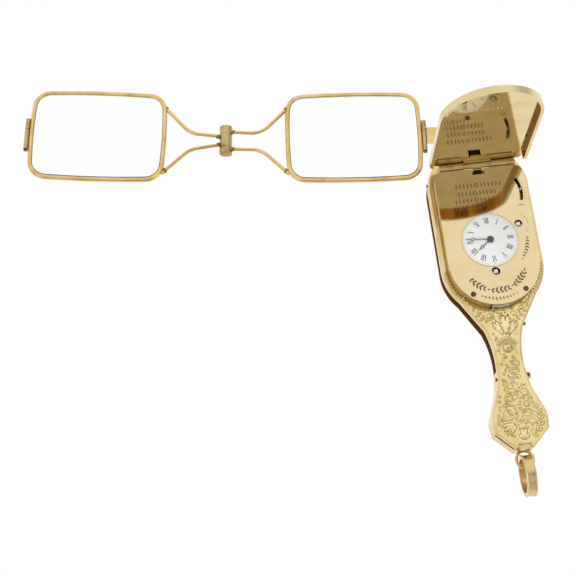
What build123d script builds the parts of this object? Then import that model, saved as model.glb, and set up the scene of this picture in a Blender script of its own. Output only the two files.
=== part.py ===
from build123d import *
from math import atan2, cos, degrees, hypot, pi, radians, sin, sqrt
import os

# A folding lorgnette with a small watch hidden in its handle.
# Millimetres. +Z runs up the handle towards the lid hinge, the dial faces -Y, and the glasses
# open towards -X. The origin is at the waist of the handle, in the middle of its thickness.

# ---- layers of the case, from the front (-Y) to the back (+Y) ----
HANDLE_THICKNESS = 6.0      # front face of the neck to the back of the back plate
FRONT_THICKNESS = 1.6       # front body
BACK_THICKNESS = 0.8        # back plate
RIM_HEIGHT = 2.3            # watch rim above the ledge
PLATE_THICKNESS = 0.5       # watch plate on the rim
LINER_THICKNESS = 0.3       # plate between the slot and the watch
FRONT_Y = -HANDLE_THICKNESS / 2
SLOT_FRONT_Y = FRONT_Y + FRONT_THICKNESS
SLOT_BACK_Y = HANDLE_THICKNESS / 2 - BACK_THICKNESS
BACK_Y = HANDLE_THICKNESS / 2
LINER_FRONT_Y = SLOT_FRONT_Y - LINER_THICKNESS
PLATE_BACK_Y = FRONT_Y - RIM_HEIGHT
PLATE_FRONT_Y = PLATE_BACK_Y - PLATE_THICKNESS

# ---- outline of the case ----
CASE_HALF_WIDTH = 12.4
RIM_TOP_Z = 48.2            # upper end of the watch
CASE_ARC_Z = RIM_TOP_Z - 24.1   # centre of the round end below the watch
SHOULDER_Z = RIM_TOP_Z - 4.7    # where the straight sides turn towards the ear
SHOULDER_MID_IN = 0.65      # the shoulder's middle, inside the straight side
SHOULDER_MID_Z = RIM_TOP_Z
SHOULDER_END_IN = 2.8
SHOULDER_END_Z = RIM_TOP_Z + 3.7
EAR_RADIUS = 4.2
EAR_TANGENT_X = 3.6
NECK_ARC_ANGLE = 42.0       # where the round end turns into the neck, below level
NECK_X = 4.6
NECK_Z = 8.2
WAIST_HALF_WIDTH = 3.25
FLARE_X = 4.5
FLARE_Z = -7.8
BULB_X = 6.3
BULB_Z = -12.2
BULB_HALF_WIDTH = 6.6
BULB_WIDE_Z = -14.0
FACET_X = 6.35
FACET_Z = -16.8
FOOT_HALF_WIDTH = 2.1
FOOT_Z = -21.0
EDGE_BEVEL = 0.45
BACK_BEVEL = 0.5

# ---- watch housing ----
RIM_OUTER_RADIUS = 10.95
RIM_WALL = 0.95
RIM_CORNER = 2.0
FIT = 0.02                  # clearance of a fixed fit
RUN = 0.05                  # clearance of a running fit
SEAT_GAP = 0.05

# ---- dial, hands and plate features ----
DIAL_Z = RIM_TOP_Z - 18.65
DIAL_RADIUS = 6.7
DIAL_THICKNESS = 0.35
DIAL_SINK = 0.08
BEZEL_WIDTH = 0.28
BEZEL_PROUD = 0.12
BEZEL_LIP = 0.35            # the lip behind the dial that carries it
BEZEL_LIP_THICKNESS = 0.06
MINUTE_HAND_LENGTH = 5.9
HOUR_HAND_LENGTH = 3.9
MINUTE_HAND_ANGLE = 276.0   # clockwise from twelve, as the hands stand
HOUR_HAND_ANGLE = 233.0
HAND_THICKNESS = 0.08
HAND_WIDTH = 0.2
HAND_RING_RADIUS = 0.42
HAND_RING_WALL = 0.13
HAND_RING_SHARE = 0.7       # place of a hand's ring along it
HOUR_HAND_Y = PLATE_FRONT_Y - 0.12
MINUTE_HAND_Y = HOUR_HAND_Y - 0.2
HAND_BOSS_RADIUS = 0.8
WINDING_HOLE_RADIUS = 1.05
SETTING_HOLE_RADIUS = 0.95
WINDING_Z = DIAL_Z - 8.11
SETTING_X = 7.41
SETTING_Z = DIAL_Z + 3.33
SQUARE_SIDE = 0.9
SETTING_SIDE = 0.8
PLATE_SCREWS = ((0.0, DIAL_Z + 8.05), (-6.3, DIAL_Z - 13.25), (6.3, DIAL_Z - 13.25))
PLATE_SCREW_RADIUS = 0.65
PLATE_SCREW_SHANK = 0.35
PLATE_SCREW_SINK = 0.25
PLATE_SCREW_PROUD = 0.05
SCREW_SLOT_WIDTH = 0.16
SCREW_SLOT_TURN = 35.0
NOTCH_HALF_WIDTH = 1.5
NOTCH_DEPTH = 1.5
NOTCH_SINK = 1.1            # the notch's depth into the watch rim, under the plate

# ---- lid and its hinge ----
LID_WALL = 0.8
LID_FLOOR = 0.45
LID_GAP = 0.15              # between the lid's wall and the watch rim
LID_BEVEL = 0.3
LID_SIDE_DROP = 1.3         # the lid's side walls begin this far below the watch's upper end
HINGE_Y = -5.6
HINGE_Z = RIM_TOP_Z + 1.05
HINGE_RADIUS = 0.75
LID_INSIDE_Y = HINGE_Y - HINGE_RADIUS - 0.05    # underside of the closed lid's floor
LID_MOUTH_Y = HINGE_Y + 0.8     # edge of the closed lid's wall, part way down the watch rim
HINGE_PIN_RADIUS = 0.35
KNUCKLE_INNER_X = 3.4
KNUCKLE_OUTER_X = 9.3
KNUCKLE_GAP = 0.08
LID_OPEN_ANGLE = 92.0
TAIL_HALF_WIDTH = 1.2
TAIL_REACH = 1.0
TAIL_THICKNESS = 0.5
WEB_HEIGHT = 1.2            # of the plate between the middle tube and the lid's floor
WEB_LAP = 0.3
SPRING_LENGTH = 5.2
SPRING_HALF_WIDTH = 1.0
SPRING_THICKNESS = 0.15
SPRING_SCREW_RADIUS = 0.35

# ---- pivot of the glasses ----
PIVOT_X = -0.6
PIVOT_Z = RIM_TOP_Z + 12.0
PIVOT_PIN_RADIUS = 0.8
BUSH_RADIUS = 1.4
BUSH_FLANGE_RADIUS = 2.1
PIVOT_HEAD_RADIUS = 1.7
PIVOT_HEAD_PROUD = 0.45
PIVOT_RIVET_RADIUS = 1.2    # the pin's end, spread into a sink in the back plate
PIVOT_RIVET_DEPTH = 0.25
PIVOT_SLOT_WIDTH = 0.3
PIVOT_SLOT_DEPTH = 0.2
PIVOT_SLOT_TURN = 25.0
ARM_HUB_RADIUS = 2.6
ARM_WIDTH = 4.2
ARM_THICKNESS = 0.9

# ---- glasses ----
BRIDGE_X = -60.07           # hinge between the lenses
BRIDGE_Z = PIVOT_Z + 5.5
BRIDGE_TILT = 6.88          # the open pair rises to the left
LENS_LEAN = 1.57            # each lens leans towards the bridge
LENS_SPACING = 64.0
RIM_LENGTH = 34.24
RIM_DEPTH = 24.55
RIM_BULGE = 0.5
RIM_CORNER_RADIUS = 4.6
WIRE_SIZE = 1.1
WIRE_CHAMFER = 0.26
LENS_THICKNESS = 0.8
FOLD_OFFSET = 0.62          # the bridge hinge lies behind the plane of the rims
SLOT_MID_Y = (SLOT_FRONT_Y + SLOT_BACK_Y) / 2
LENS_Y = SLOT_MID_Y - FOLD_OFFSET
BRIDGE_RADIUS = 1.6
BRIDGE_LENGTH = 7.3
BRIDGE_PIN_RADIUS = 0.5
BRIDGE_SPLIT_UP = 1.5
BRIDGE_SPLIT_DOWN = -2.0
BRIDGE_GAP = 0.06
BRIDGE_WIRE_SIZE = 0.9
WIRE_ROOT_IN = 1.02         # where a bridge wire leaves the rim, from the rim's inner end
WIRE_ROOT_UP = RIM_DEPTH / 2 - 2.92
WIRE_KNEE_RUN = 7.0         # the first run of a bridge wire, along the pair
UPPER_KNEE_UP = 1.75
LOWER_KNEE_UP = -2.7
WIRE_BEND = 6.0
WIRE_TIP_SHARE = 0.72       # how far out on the hinge's tubes the wires end
LEFT_TIP_IN = 0.65          # the left wires end on the middle tube, this far inside its ends
RIGHT_TIP_OUT = 0.6         # the right wires end on the outer tubes, this far past the splits
CLOSING_RADIUS = 0.6
CLOSING_LENGTH = 8.2
CLOSING_SPLIT = 1.3
CLOSING_GAP = 0.1
CLOSING_SHANK = 0.3
CLOSING_HEAD = 0.45         # height of the closing screw's head
CLOSING_HEAD_IN = 0.08
CLOSING_TOP_WALL = 0.5

# ---- handle details ----
BUTTON_Z = 3.2
BUTTON_RADIUS = 1.05
BUTTON_PROUD = 0.75
BUTTON_ROUND = 0.34         # round of the dome's edge
BUTTON_ROOM = 0.8           # depth of the hole that the button sinks into
BUTTON_SUNK = 0.25
BUTTON_STEM_RADIUS = 0.45
BUTTON_TRAVEL = 0.45
SIDE_BUTTON_Z = -3.2
SIDE_COLLAR_RADIUS = 1.2
SIDE_COLLAR_LENGTH = 0.7
SIDE_BUTTON_RADIUS = 0.85
SIDE_BUTTON_PROUD = 0.95
SIDE_BUTTON_STEM = 0.4
SIDE_TRAVEL = 0.5
CATCH_LEFT = -1.1
CATCH_RIGHT = 0.55
CATCH_DROP = 0.7            # lower end of the catch under the side button's axis
CATCH_HALF_DEPTH = 0.75
CATCH_PROUD = 0.6
CATCH_NOSE = -0.2
CASE_PIN_RADIUS = 0.4
CASE_PIN_PROUD = 0.35
CASE_PIN_DEPTH = 1.2
CASE_PINS = ((-1, 12.14, RIM_TOP_Z - 1.7), (1, 5.05, 8.8), (-1, 3.63, -4.1))    # side, edge, height
BACK_INSET = 0.15           # the back plate and the slot's walls lie this far inside the front's outline
SPINE_WALL = 0.45
SPINE_TOP_Z = SHOULDER_Z    # the stowed rims reach the edge above and below the spine
SPINE_BOTTOM_Z = CASE_ARC_Z
SLOT_END_Z = -1.9
COLLAR_SINK = 0.6           # the side button's collar is let into the edge
LATCH_HALF_WIDTH = 2.2
LATCH_THICKNESS = 0.7
LATCH_LENGTH = 2.6
LATCH_PROUD = 0.1
LATCH_TRAVEL = 0.4
LATCH_Y = PLATE_BACK_Y + 0.05   # right under the watch plate
BOW_WIRE = 0.72
BOW_RADIUS = 2.0
BOW_Z = -23.1
POST_HALF_WIDTH = 1.35
POST_DEPTH = 1.0
POST_FOOT = 0.2             # the post stands out of the foot
POST_INSET = 0.3            # from the front face
POST_REACH = 2.0            # into the block behind the slot
RING_OUTER_RADIUS = 4.75
RING_WALL = 0.85
RING_WIDTH = 2.2
RING_TOP_GAP = 0.7

# ---- watch movement ----
MAIN_PLATE_FRONT_Y = -4.45
MAIN_PLATE_THICKNESS = 0.5
PLATE_EDGE_GAP = 0.1        # round the main plate
BRIDGE_EDGE_GAP = 0.3       # round the bridge and the cock
BRIDGE_FRONT_Y = -2.1
ARBOR_END_Y = BRIDGE_FRONT_Y + 0.1
ARBOR_FOOT_Y = MAIN_PLATE_FRONT_Y + 0.2
HOLE_FLOOR = 0.15           # left under the bridge's blind holes
TRAIN_BRIDGE_TOP_Z = DIAL_Z + 9.05
CENTRE_WHEEL_Y = -3.8       # front faces of the wheels and pinions
CENTRE_PINION_Y = -3.0
CENTRE_PINION_LENGTH = 0.6
CENTRE_ARBOR_RADIUS = 0.42
CENTRE_ARBOR_Y = -3.9
CENTRE_HOLE_RADIUS = 0.5
THIRD_PINION_Y = -3.85
THIRD_WHEEL_Y = -3.45
FOURTH_PINION_Y = -3.5
FOURTH_WHEEL_Y = -3.7
PINION_LENGTH = 0.25
ESCAPE_PINION_Y = -3.75
ESCAPE_PINION_LENGTH = 0.35
ESCAPE_WHEEL_Y = -3.35
ESCAPE_WHEEL_THICKNESS = 0.1
ESCAPE_BRIDGE_Y = -2.95
ESCAPE_BRIDGE_THICKNESS = 0.15
BALANCE_Y = -2.7
BALANCE_THICKNESS = 0.2
CYLINDER_RADIUS = 0.3
CYLINDER_FRONT_Y = -3.6
HAIRSPRING_Y = -2.38
HAIRSPRING_HEIGHT = 0.16
DRUM_FRONT_Y = -3.2
DRUM_BACK_Y = -2.25
BARREL_TEETH_Y = -2.85
BARREL_TEETH_THICKNESS = 0.3
DRUM_INSET = 0.4            # the drum's wall, inside the teeth
WINDING_SHAFT_RADIUS = 0.5
WINDING_COLLAR_RADIUS = 0.7
SQUARE_SINK = 0.1           # the key squares end this far under the plate's face
CANNON_TEETH_Y = -4.72
CANNON_TEETH_THICKNESS = 0.2
CANNON_RADIUS = 0.4
MINUTE_WHEEL_Y = -4.7
MINUTE_PINION_Y = -5.15
HOUR_WHEEL_Y = -5.1
HOUR_PIPE_RADIUS = 0.6
SETTING_HUB_RADIUS = 0.65
ARBOR_RADIUS = 0.2
PIVOT_HOLE = 0.25
BARREL_TEETH = 76
CENTRE_PINION = 12
CENTRE_TEETH = 64
THIRD_PINION = 8
THIRD_TEETH = 60
FOURTH_PINION = 8
FOURTH_TEETH = 60
ESCAPE_PINION = 6
ESCAPE_TEETH = 15
CANNON_TEETH = 12
MINUTE_TEETH = 36
MINUTE_PINION = 10
HOUR_TEETH = 40
SETTING_TEETH = 30
CENTRE_MODULE = 0.115
THIRD_MODULE = 0.105
FOURTH_MODULE = 0.09
THIRD_DIRECTION = 110.0
FOURTH_DIRECTION = 95.0
ESCAPE_DIRECTION = 48.0
ESCAPE_RADIUS = 1.9
ESCAPE_FOOT = (-2.3, DIAL_Z + 11.35)
ESCAPE_TOOTH = 0.45
ESCAPE_STRIP_WIDTH = 0.8
BALANCE_X = 1.9
BALANCE_Z = DIAL_Z + 11.45
BALANCE_RADIUS = 4.3
BALANCE_RIM = 0.5
COCK_RADIUS = 1.7           # of the balance cock's head
COCK_ARM = (-2.9, 3.4)      # middle of the cock's arm, from the balance
COCK_ARM_LENGTH = 11.0
COCK_ARM_WIDTH = 2.4
COCK_ARM_TURN = -28.0
HAIRSPRING_TURNS = 5
HAIRSPRING_RADIUS = 1.7
HAIRSPRING_INNER = 0.32
HAIRSPRING_WALL = 0.06
HAIRSPRING_STEPS = 24       # points in each turn of the spiral
REGULATOR_RADIUS = 7.6
REGULATOR_LOW = -14.0
REGULATOR_HIGH = 25.0
REGULATOR_SLOT = 0.85
REGULATOR_HUB = 0.9
REGULATOR_WIDTH = 0.5
REGULATOR_HOLE = 0.45
REGULATOR_TIP = 0.2
REGULATOR_THICKNESS = 0.15
REGULATOR_PROUD = 0.15
WHEEL_THICKNESS = 0.15
WHEEL_RIM = 0.45            # from the pitch circle to the openings between the arms
WHEEL_HUB = 0.7
SMALL_HUB = 0.5
PILLAR_RADIUS = 0.45
LOW_PILLAR_Z = DIAL_Z - 9.25
PILLARS = ((-8.3, LOW_PILLAR_Z), (8.3, LOW_PILLAR_Z), (-8.3, DIAL_Z + 4.95), (-7.4, RIM_TOP_Z - 2.6),
           (7.6, RIM_TOP_Z - 2.0))


# ---- helpers ----
def at(y):
    """Plane across the case at depth y, seen from the front: local x is X, local y is Z."""
    return Plane(origin=(0, y, 0), x_dir=(1, 0, 0), z_dir=(0, -1, 0))


def slab(sketch, front, back):
    """A flat sketch given thickness between two depths."""
    return extrude(at(back) * sketch, amount=back - front)


def disc(x, z, radius, front, back):
    return slab(Pos(x, z) * Circle(radius), front, back)


def box(x0, x1, z0, z1, front, back):
    sketch = Pos((x0 + x1) / 2, (z0 + z1) / 2) * Rectangle(x1 - x0, z1 - z0)
    return slab(sketch, front, back)


def rod_x(y, z, radius, x0, x1):
    """A round rod along X."""
    return Plane(origin=(x0, y, z), x_dir=(0, 1, 0), z_dir=(1, 0, 0)) * extrude(Circle(radius), amount=x1 - x0)


def arched(half_width, top, arc_z=CASE_ARC_Z):
    """The watch's outline: straight sides with a half-round lower end."""
    middle = (top + arc_z) / 2
    return Pos(0, middle) * Rectangle(2 * half_width, top - arc_z) + Pos(0, arc_z) * Circle(half_width)


def rounded_top(outline, grow=0.0):
    """The watch's outline with its two upper corners rounded."""
    return fillet(outline.vertices().sort_by(Axis.Y)[-2:], RIM_CORNER + grow)


def case_outline(half_width=CASE_HALF_WIDTH):
    """Half of the case's outline, mirrored: ear, shoulders, round end, neck, waist and bulb."""
    neck_angle = radians(NECK_ARC_ANGLE)
    arc_mid = neck_angle / 2
    neck_start = (half_width * cos(neck_angle), CASE_ARC_Z - half_width * sin(neck_angle))
    ear_rise = sqrt(EAR_RADIUS ** 2 - EAR_TANGENT_X ** 2)
    edges = [
        Line((0, FOOT_Z), (FOOT_HALF_WIDTH, FOOT_Z)),
        Line((FOOT_HALF_WIDTH, FOOT_Z), (FACET_X, FACET_Z)),
        Line((FACET_X, FACET_Z), (BULB_HALF_WIDTH, BULB_WIDE_Z)),
        Line((BULB_HALF_WIDTH, BULB_WIDE_Z), (BULB_X, BULB_Z)),
        Line((BULB_X, BULB_Z), (FLARE_X, FLARE_Z)),
        ThreePointArc((FLARE_X, FLARE_Z), (WAIST_HALF_WIDTH, 0), (NECK_X, NECK_Z)),
        Line((NECK_X, NECK_Z), neck_start),
        ThreePointArc(
            neck_start,
            (half_width * cos(arc_mid), CASE_ARC_Z - half_width * sin(arc_mid)),
            (half_width, CASE_ARC_Z),
        ),
        Line((half_width, CASE_ARC_Z), (half_width, SHOULDER_Z)),
        ThreePointArc(
            (half_width, SHOULDER_Z),
            (half_width - SHOULDER_MID_IN, SHOULDER_MID_Z),
            (half_width - SHOULDER_END_IN, SHOULDER_END_Z),
        ),
        Line((half_width - SHOULDER_END_IN, SHOULDER_END_Z), (EAR_TANGENT_X, PIVOT_Z + ear_rise)),
        ThreePointArc(
            (EAR_TANGENT_X, PIVOT_Z + ear_rise),
            (EAR_RADIUS * sin(radians(30)), PIVOT_Z + EAR_RADIUS * cos(radians(30))),
            (0, PIVOT_Z + EAR_RADIUS),
        ),
        Line((0, PIVOT_Z + EAR_RADIUS), (0, FOOT_Z)),
    ]
    right = make_face(Wire(edges))
    return right + mirror(right, Plane.YZ)


def bevelled(sketch, front, back, size, on_front=True):
    """A slab with a bevel of 45 degrees round its front or its back edge."""
    edge = extrude(at(0) * sketch, amount=size, taper=45)
    if on_front:
        return slab(sketch, front + size, back) + Pos(0, front + size, 0) * edge
    return slab(sketch, front, back - size) + Pos(0, back - size, 0) * mirror(edge, Plane.XZ)


def polar(x, z, radius, angle):
    return x + radius * cos(radians(angle)), z + radius * sin(radians(angle))


def gear_sketch(teeth, module, phase=0.0, height=0.7):
    """A toothed disc with low trapezoid teeth, one of them centred on the angle `phase`."""
    pitch = module * teeth / 2
    root = pitch - height * module / 2 - 0.1 * module
    tip = pitch + height * module / 2
    step = 2 * pi / teeth
    points = []
    for index in range(teeth):
        centre = radians(phase) + index * step
        for radius, share in ((root, -0.32), (tip, -0.12), (tip, 0.12), (root, 0.32)):
            angle = centre + share * step
            points.append((radius * cos(angle), radius * sin(angle)))
    return make_face(Polyline(*points, close=True))


def crossings(radius, hub, count=4, spoke=0.32):
    """The openings between a wheel's arms."""
    ring = Circle(radius) - Circle(hub)
    for index in range(count):
        ring -= Rot(0, 0, index * 360 / count) * Pos(radius / 2, 0) * Rectangle(radius + 1, spoke)
    return ring


def mesh_phase(phase_a, teeth_a, teeth_b, direction):
    """Angle of a tooth on wheel b that lets it mesh with wheel a; direction runs from a to b."""
    pitch_a = 360.0 / teeth_a
    pitch_b = 360.0 / teeth_b
    share = ((direction - phase_a) % pitch_a) / pitch_a
    return direction + 180.0 + (share - 0.5) * pitch_b


# ---- places of the movement's arbors ----
BARREL_MODULE = 2 * (DIAL_Z - WINDING_Z) / (BARREL_TEETH + CENTRE_PINION)
THIRD_AT = polar(0, DIAL_Z, CENTRE_MODULE * (CENTRE_TEETH + THIRD_PINION) / 2, THIRD_DIRECTION)
FOURTH_AT = polar(*THIRD_AT, THIRD_MODULE * (THIRD_TEETH + FOURTH_PINION) / 2, FOURTH_DIRECTION)
ESCAPE_AT = polar(*FOURTH_AT, FOURTH_MODULE * (FOURTH_TEETH + ESCAPE_PINION) / 2, ESCAPE_DIRECTION)
SETTING_DISTANCE = hypot(SETTING_X, SETTING_Z - DIAL_Z)
SETTING_DIRECTION = degrees(atan2(SETTING_Z - DIAL_Z, SETTING_X))
MOTION_MODULE = 2 * SETTING_DISTANCE / (CANNON_TEETH + 2 * MINUTE_TEETH + SETTING_TEETH)
MINUTE_DISTANCE = MOTION_MODULE * (CANNON_TEETH + MINUTE_TEETH) / 2
HOUR_MODULE = 2 * MINUTE_DISTANCE / (MINUTE_PINION + HOUR_TEETH)
MINUTE_AT = polar(0, DIAL_Z, MINUTE_DISTANCE, SETTING_DIRECTION)
MAIN_PLATE_BACK_Y = MAIN_PLATE_FRONT_Y + MAIN_PLATE_THICKNESS
CAVITY_RADIUS = RIM_OUTER_RADIUS - RIM_WALL
LID_OUTSIDE_Y = LID_INSIDE_Y - LID_FLOOR


def wheel(x, z, teeth, module, phase, front, hub=WHEEL_HUB):
    """A crossed-out toothed wheel."""
    sketch = gear_sketch(teeth, module, phase) - crossings(module * teeth / 2 - WHEEL_RIM, hub)
    return slab(Pos(x, z) * sketch, front, front + WHEEL_THICKNESS)


# ---- case ----
def make_back_plate():
    outline = case_outline(CASE_HALF_WIDTH - BACK_INSET)
    plate = bevelled(outline, SLOT_BACK_Y, BACK_Y, BACK_BEVEL, on_front=False)
    plate -= disc(PIVOT_X, PIVOT_Z, PIVOT_RIVET_RADIUS + FIT, BACK_Y - PIVOT_RIVET_DEPTH, BACK_Y + 1)
    return plate - disc(PIVOT_X, PIVOT_Z, PIVOT_PIN_RADIUS + FIT, SLOT_BACK_Y - 1, BACK_Y + 1)


def make_front_body():
    body = bevelled(case_outline(), FRONT_Y, SLOT_FRONT_Y, EDGE_BEVEL)
    body -= slab(arched(CAVITY_RADIUS, RIM_TOP_Z - RIM_WALL), FRONT_Y - 1, SLOT_FRONT_Y + 1)
    body -= disc(PIVOT_X, PIVOT_Z, PIVOT_PIN_RADIUS + FIT, FRONT_Y - 1, SLOT_FRONT_Y + 1)
    body -= disc(0, BUTTON_Z, BUTTON_RADIUS + RUN, FRONT_Y - 1, FRONT_Y + BUTTON_ROOM)
    body -= disc(0, BUTTON_Z, BUTTON_STEM_RADIUS + RUN, FRONT_Y - 1, SLOT_FRONT_Y + 1)
    for x0, x1, z in case_pin_places():
        body -= rod_x(FRONT_Y + FRONT_THICKNESS / 2, z, CASE_PIN_RADIUS + FIT, x0, x1)
    body -= box(-POST_HALF_WIDTH - FIT, POST_HALF_WIDTH + FIT, FOOT_Z - 1, FOOT_Z + POST_DEPTH, FRONT_Y - 1,
                SLOT_FRONT_Y + 1)
    return body


def case_pin_places():
    """Start, end and height of the three steel pins that show in the case's edges."""
    places = []
    for side, edge, z in CASE_PINS:
        inner = side * (edge - CASE_PIN_DEPTH)
        outer = side * (edge + CASE_PIN_PROUD)
        places.append((min(inner, outer), max(inner, outer), z))
    return places


def make_case_pins():
    pins = []
    for x0, x1, z in case_pin_places():
        pins.append(rod_x(FRONT_Y + FRONT_THICKNESS / 2, z, CASE_PIN_RADIUS, x0, x1))
    return Compound(pins)


def make_spine():
    """The wall along the right edge of the slot."""
    outline = case_outline(CASE_HALF_WIDTH - BACK_INSET)
    wall = outline - offset(outline, -SPINE_WALL, kind=Kind.INTERSECTION)
    keep = Pos(CASE_HALF_WIDTH, (SPINE_TOP_Z + SPINE_BOTTOM_Z) / 2)
    wall = wall & (keep * Rectangle(2 * CASE_HALF_WIDTH - 4, SPINE_TOP_Z - SPINE_BOTTOM_Z))
    return slab(wall, SLOT_FRONT_Y, SLOT_BACK_Y)


def make_handle_block():
    """The solid lower end behind the slot."""
    outline = case_outline(CASE_HALF_WIDTH - BACK_INSET)
    lower = outline & (Pos(0, (SLOT_END_Z + FOOT_Z) / 2 - 1) * Rectangle(20, SLOT_END_Z - FOOT_Z + 2))
    block = slab(lower, SLOT_FRONT_Y, SLOT_BACK_Y)
    block -= rod_x(SLOT_MID_Y, SIDE_BUTTON_Z, SIDE_COLLAR_RADIUS + FIT, WAIST_HALF_WIDTH - COLLAR_SINK, 10)
    block -= rod_x(SLOT_MID_Y, SIDE_BUTTON_Z, SIDE_BUTTON_STEM + RUN, -0.4, 10)
    floor = SIDE_BUTTON_Z - CATCH_DROP - SIDE_TRAVEL - 0.15
    block -= box(CATCH_LEFT - RUN, CATCH_RIGHT + 0.15, floor, SLOT_END_Z + 1,
                 SLOT_MID_Y - CATCH_HALF_DEPTH - RUN, SLOT_MID_Y + CATCH_HALF_DEPTH + RUN)
    block -= box(-POST_HALF_WIDTH - FIT, POST_HALF_WIDTH + FIT, FOOT_Z - 1, FOOT_Z + POST_DEPTH,
                 SLOT_FRONT_Y - 1, SLOT_FRONT_Y + POST_REACH + FIT)
    return block


def make_slot_liner():
    liner = slab(arched(CAVITY_RADIUS - FIT, RIM_TOP_Z - RIM_WALL - FIT), LINER_FRONT_Y, SLOT_FRONT_Y)
    return liner


def make_watch_rim():
    outer = arched(RIM_OUTER_RADIUS, RIM_TOP_Z)
    inner = arched(CAVITY_RADIUS, RIM_TOP_Z - RIM_WALL)
    rim = slab(rounded_top(outer) - inner, PLATE_BACK_Y, FRONT_Y)
    rim -= box(-LATCH_HALF_WIDTH - RUN, LATCH_HALF_WIDTH + RUN, CASE_ARC_Z - RIM_OUTER_RADIUS - 1,
               CASE_ARC_Z - CAVITY_RADIUS + 1, LATCH_Y - RUN, LATCH_Y + LATCH_THICKNESS + RUN)
    rim -= box(-NOTCH_HALF_WIDTH, NOTCH_HALF_WIDTH, RIM_TOP_Z - RIM_WALL - 1, RIM_TOP_Z + 1,
               PLATE_BACK_Y - 1, PLATE_BACK_Y + NOTCH_SINK)
    for x, z in PLATE_SCREWS:
        rim -= disc(x, z, PLATE_SCREW_SHANK + FIT, PLATE_BACK_Y - 1, MAIN_PLATE_FRONT_Y + FIT)
    return rim


def regulator_slot():
    """The curved slot that the regulator's tip moves in."""
    low = polar(BALANCE_X, BALANCE_Z, REGULATOR_RADIUS, REGULATOR_LOW)
    middle = polar(BALANCE_X, BALANCE_Z, REGULATOR_RADIUS, (REGULATOR_LOW + REGULATOR_HIGH) / 2)
    high = polar(BALANCE_X, BALANCE_Z, REGULATOR_RADIUS, REGULATOR_HIGH)
    return SlotArc(ThreePointArc(low, middle, high), REGULATOR_SLOT)


def make_watch_plate():
    outline = rounded_top(arched(RIM_OUTER_RADIUS, RIM_TOP_Z))
    outline -= Pos(0, DIAL_Z) * Circle(DIAL_RADIUS + BEZEL_WIDTH)
    outline -= Pos(0, WINDING_Z) * Circle(WINDING_HOLE_RADIUS)
    outline -= Pos(SETTING_X, SETTING_Z) * Circle(SETTING_HOLE_RADIUS)
    outline -= Pos(0, RIM_TOP_Z) * Rectangle(2 * NOTCH_HALF_WIDTH, 2 * NOTCH_DEPTH)
    outline -= regulator_slot()
    for x, z in PLATE_SCREWS:
        outline -= Pos(x, z) * Circle(PLATE_SCREW_SHANK + FIT)
    plate = slab(outline, PLATE_FRONT_Y, PLATE_BACK_Y)
    for x, z in PLATE_SCREWS:
        plate -= disc(x, z, PLATE_SCREW_RADIUS + FIT, PLATE_FRONT_Y - 1, PLATE_FRONT_Y + PLATE_SCREW_SINK)
    return plate


def make_plate_screws():
    screws = []
    seat = PLATE_FRONT_Y + PLATE_SCREW_SINK
    for x, z in PLATE_SCREWS:
        head = disc(x, z, PLATE_SCREW_RADIUS, PLATE_FRONT_Y - PLATE_SCREW_PROUD, seat)
        shank = disc(x, z, PLATE_SCREW_SHANK, seat, MAIN_PLATE_FRONT_Y)
        slot = Pos(x, z) * Rot(0, 0, SCREW_SLOT_TURN) * Rectangle(3 * PLATE_SCREW_RADIUS, SCREW_SLOT_WIDTH)
        screws.append(head + shank - slab(slot, PLATE_FRONT_Y - 1, seat - SCREW_SLOT_WIDTH))
    return Compound(screws)


def make_dial_bezel():
    ring = Circle(DIAL_RADIUS + BEZEL_WIDTH - FIT) - Circle(DIAL_RADIUS)
    lip = Circle(DIAL_RADIUS + BEZEL_WIDTH - FIT) - Circle(DIAL_RADIUS - BEZEL_LIP)
    bezel = slab(Pos(0, DIAL_Z) * ring, PLATE_FRONT_Y - BEZEL_PROUD, PLATE_BACK_Y)
    return bezel + slab(Pos(0, DIAL_Z) * lip, PLATE_BACK_Y - BEZEL_LIP_THICKNESS, PLATE_BACK_Y)


def make_dial():
    front = PLATE_FRONT_Y + DIAL_SINK
    return slab(Pos(0, DIAL_Z) * (Circle(DIAL_RADIUS - FIT) - Circle(0.7)), front, front + DIAL_THICKNESS)


def make_case_knuckles():
    """The two outer tubes of the lid's hinge, with the feet that stand on the ledge."""
    knuckles = []
    for x0, x1 in ((-KNUCKLE_OUTER_X, -KNUCKLE_INNER_X), (KNUCKLE_INNER_X, KNUCKLE_OUTER_X)):
        tube = rod_x(HINGE_Y, HINGE_Z, HINGE_RADIUS, x0, x1)
        foot = box(x0, x1, RIM_TOP_Z + FIT, HINGE_Z + HINGE_RADIUS, HINGE_Y, FRONT_Y)
        knuckles.append(tube + foot - rod_x(HINGE_Y, HINGE_Z, HINGE_PIN_RADIUS + FIT, x0 - 1, x1 + 1))
    return Compound(knuckles)


def make_lid_pin():
    return rod_x(HINGE_Y, HINGE_Z, HINGE_PIN_RADIUS, -KNUCKLE_OUTER_X, KNUCKLE_OUTER_X)


def make_lid_spring():
    """The leaf under the plate that lifts the lid by its tail."""
    foot = RIM_TOP_Z - SPRING_LENGTH
    tip = HINGE_Z - hypot(TAIL_REACH, TAIL_THICKNESS / 2) - RUN
    front = PLATE_BACK_Y + SEAT_GAP
    leaf = box(-SPRING_HALF_WIDTH, SPRING_HALF_WIDTH, foot, tip, front, front + SPRING_THICKNESS)
    screw = disc(0, foot + SPRING_HALF_WIDTH, SPRING_SCREW_RADIUS, front, MAIN_PLATE_FRONT_Y)
    return leaf + screw


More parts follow.
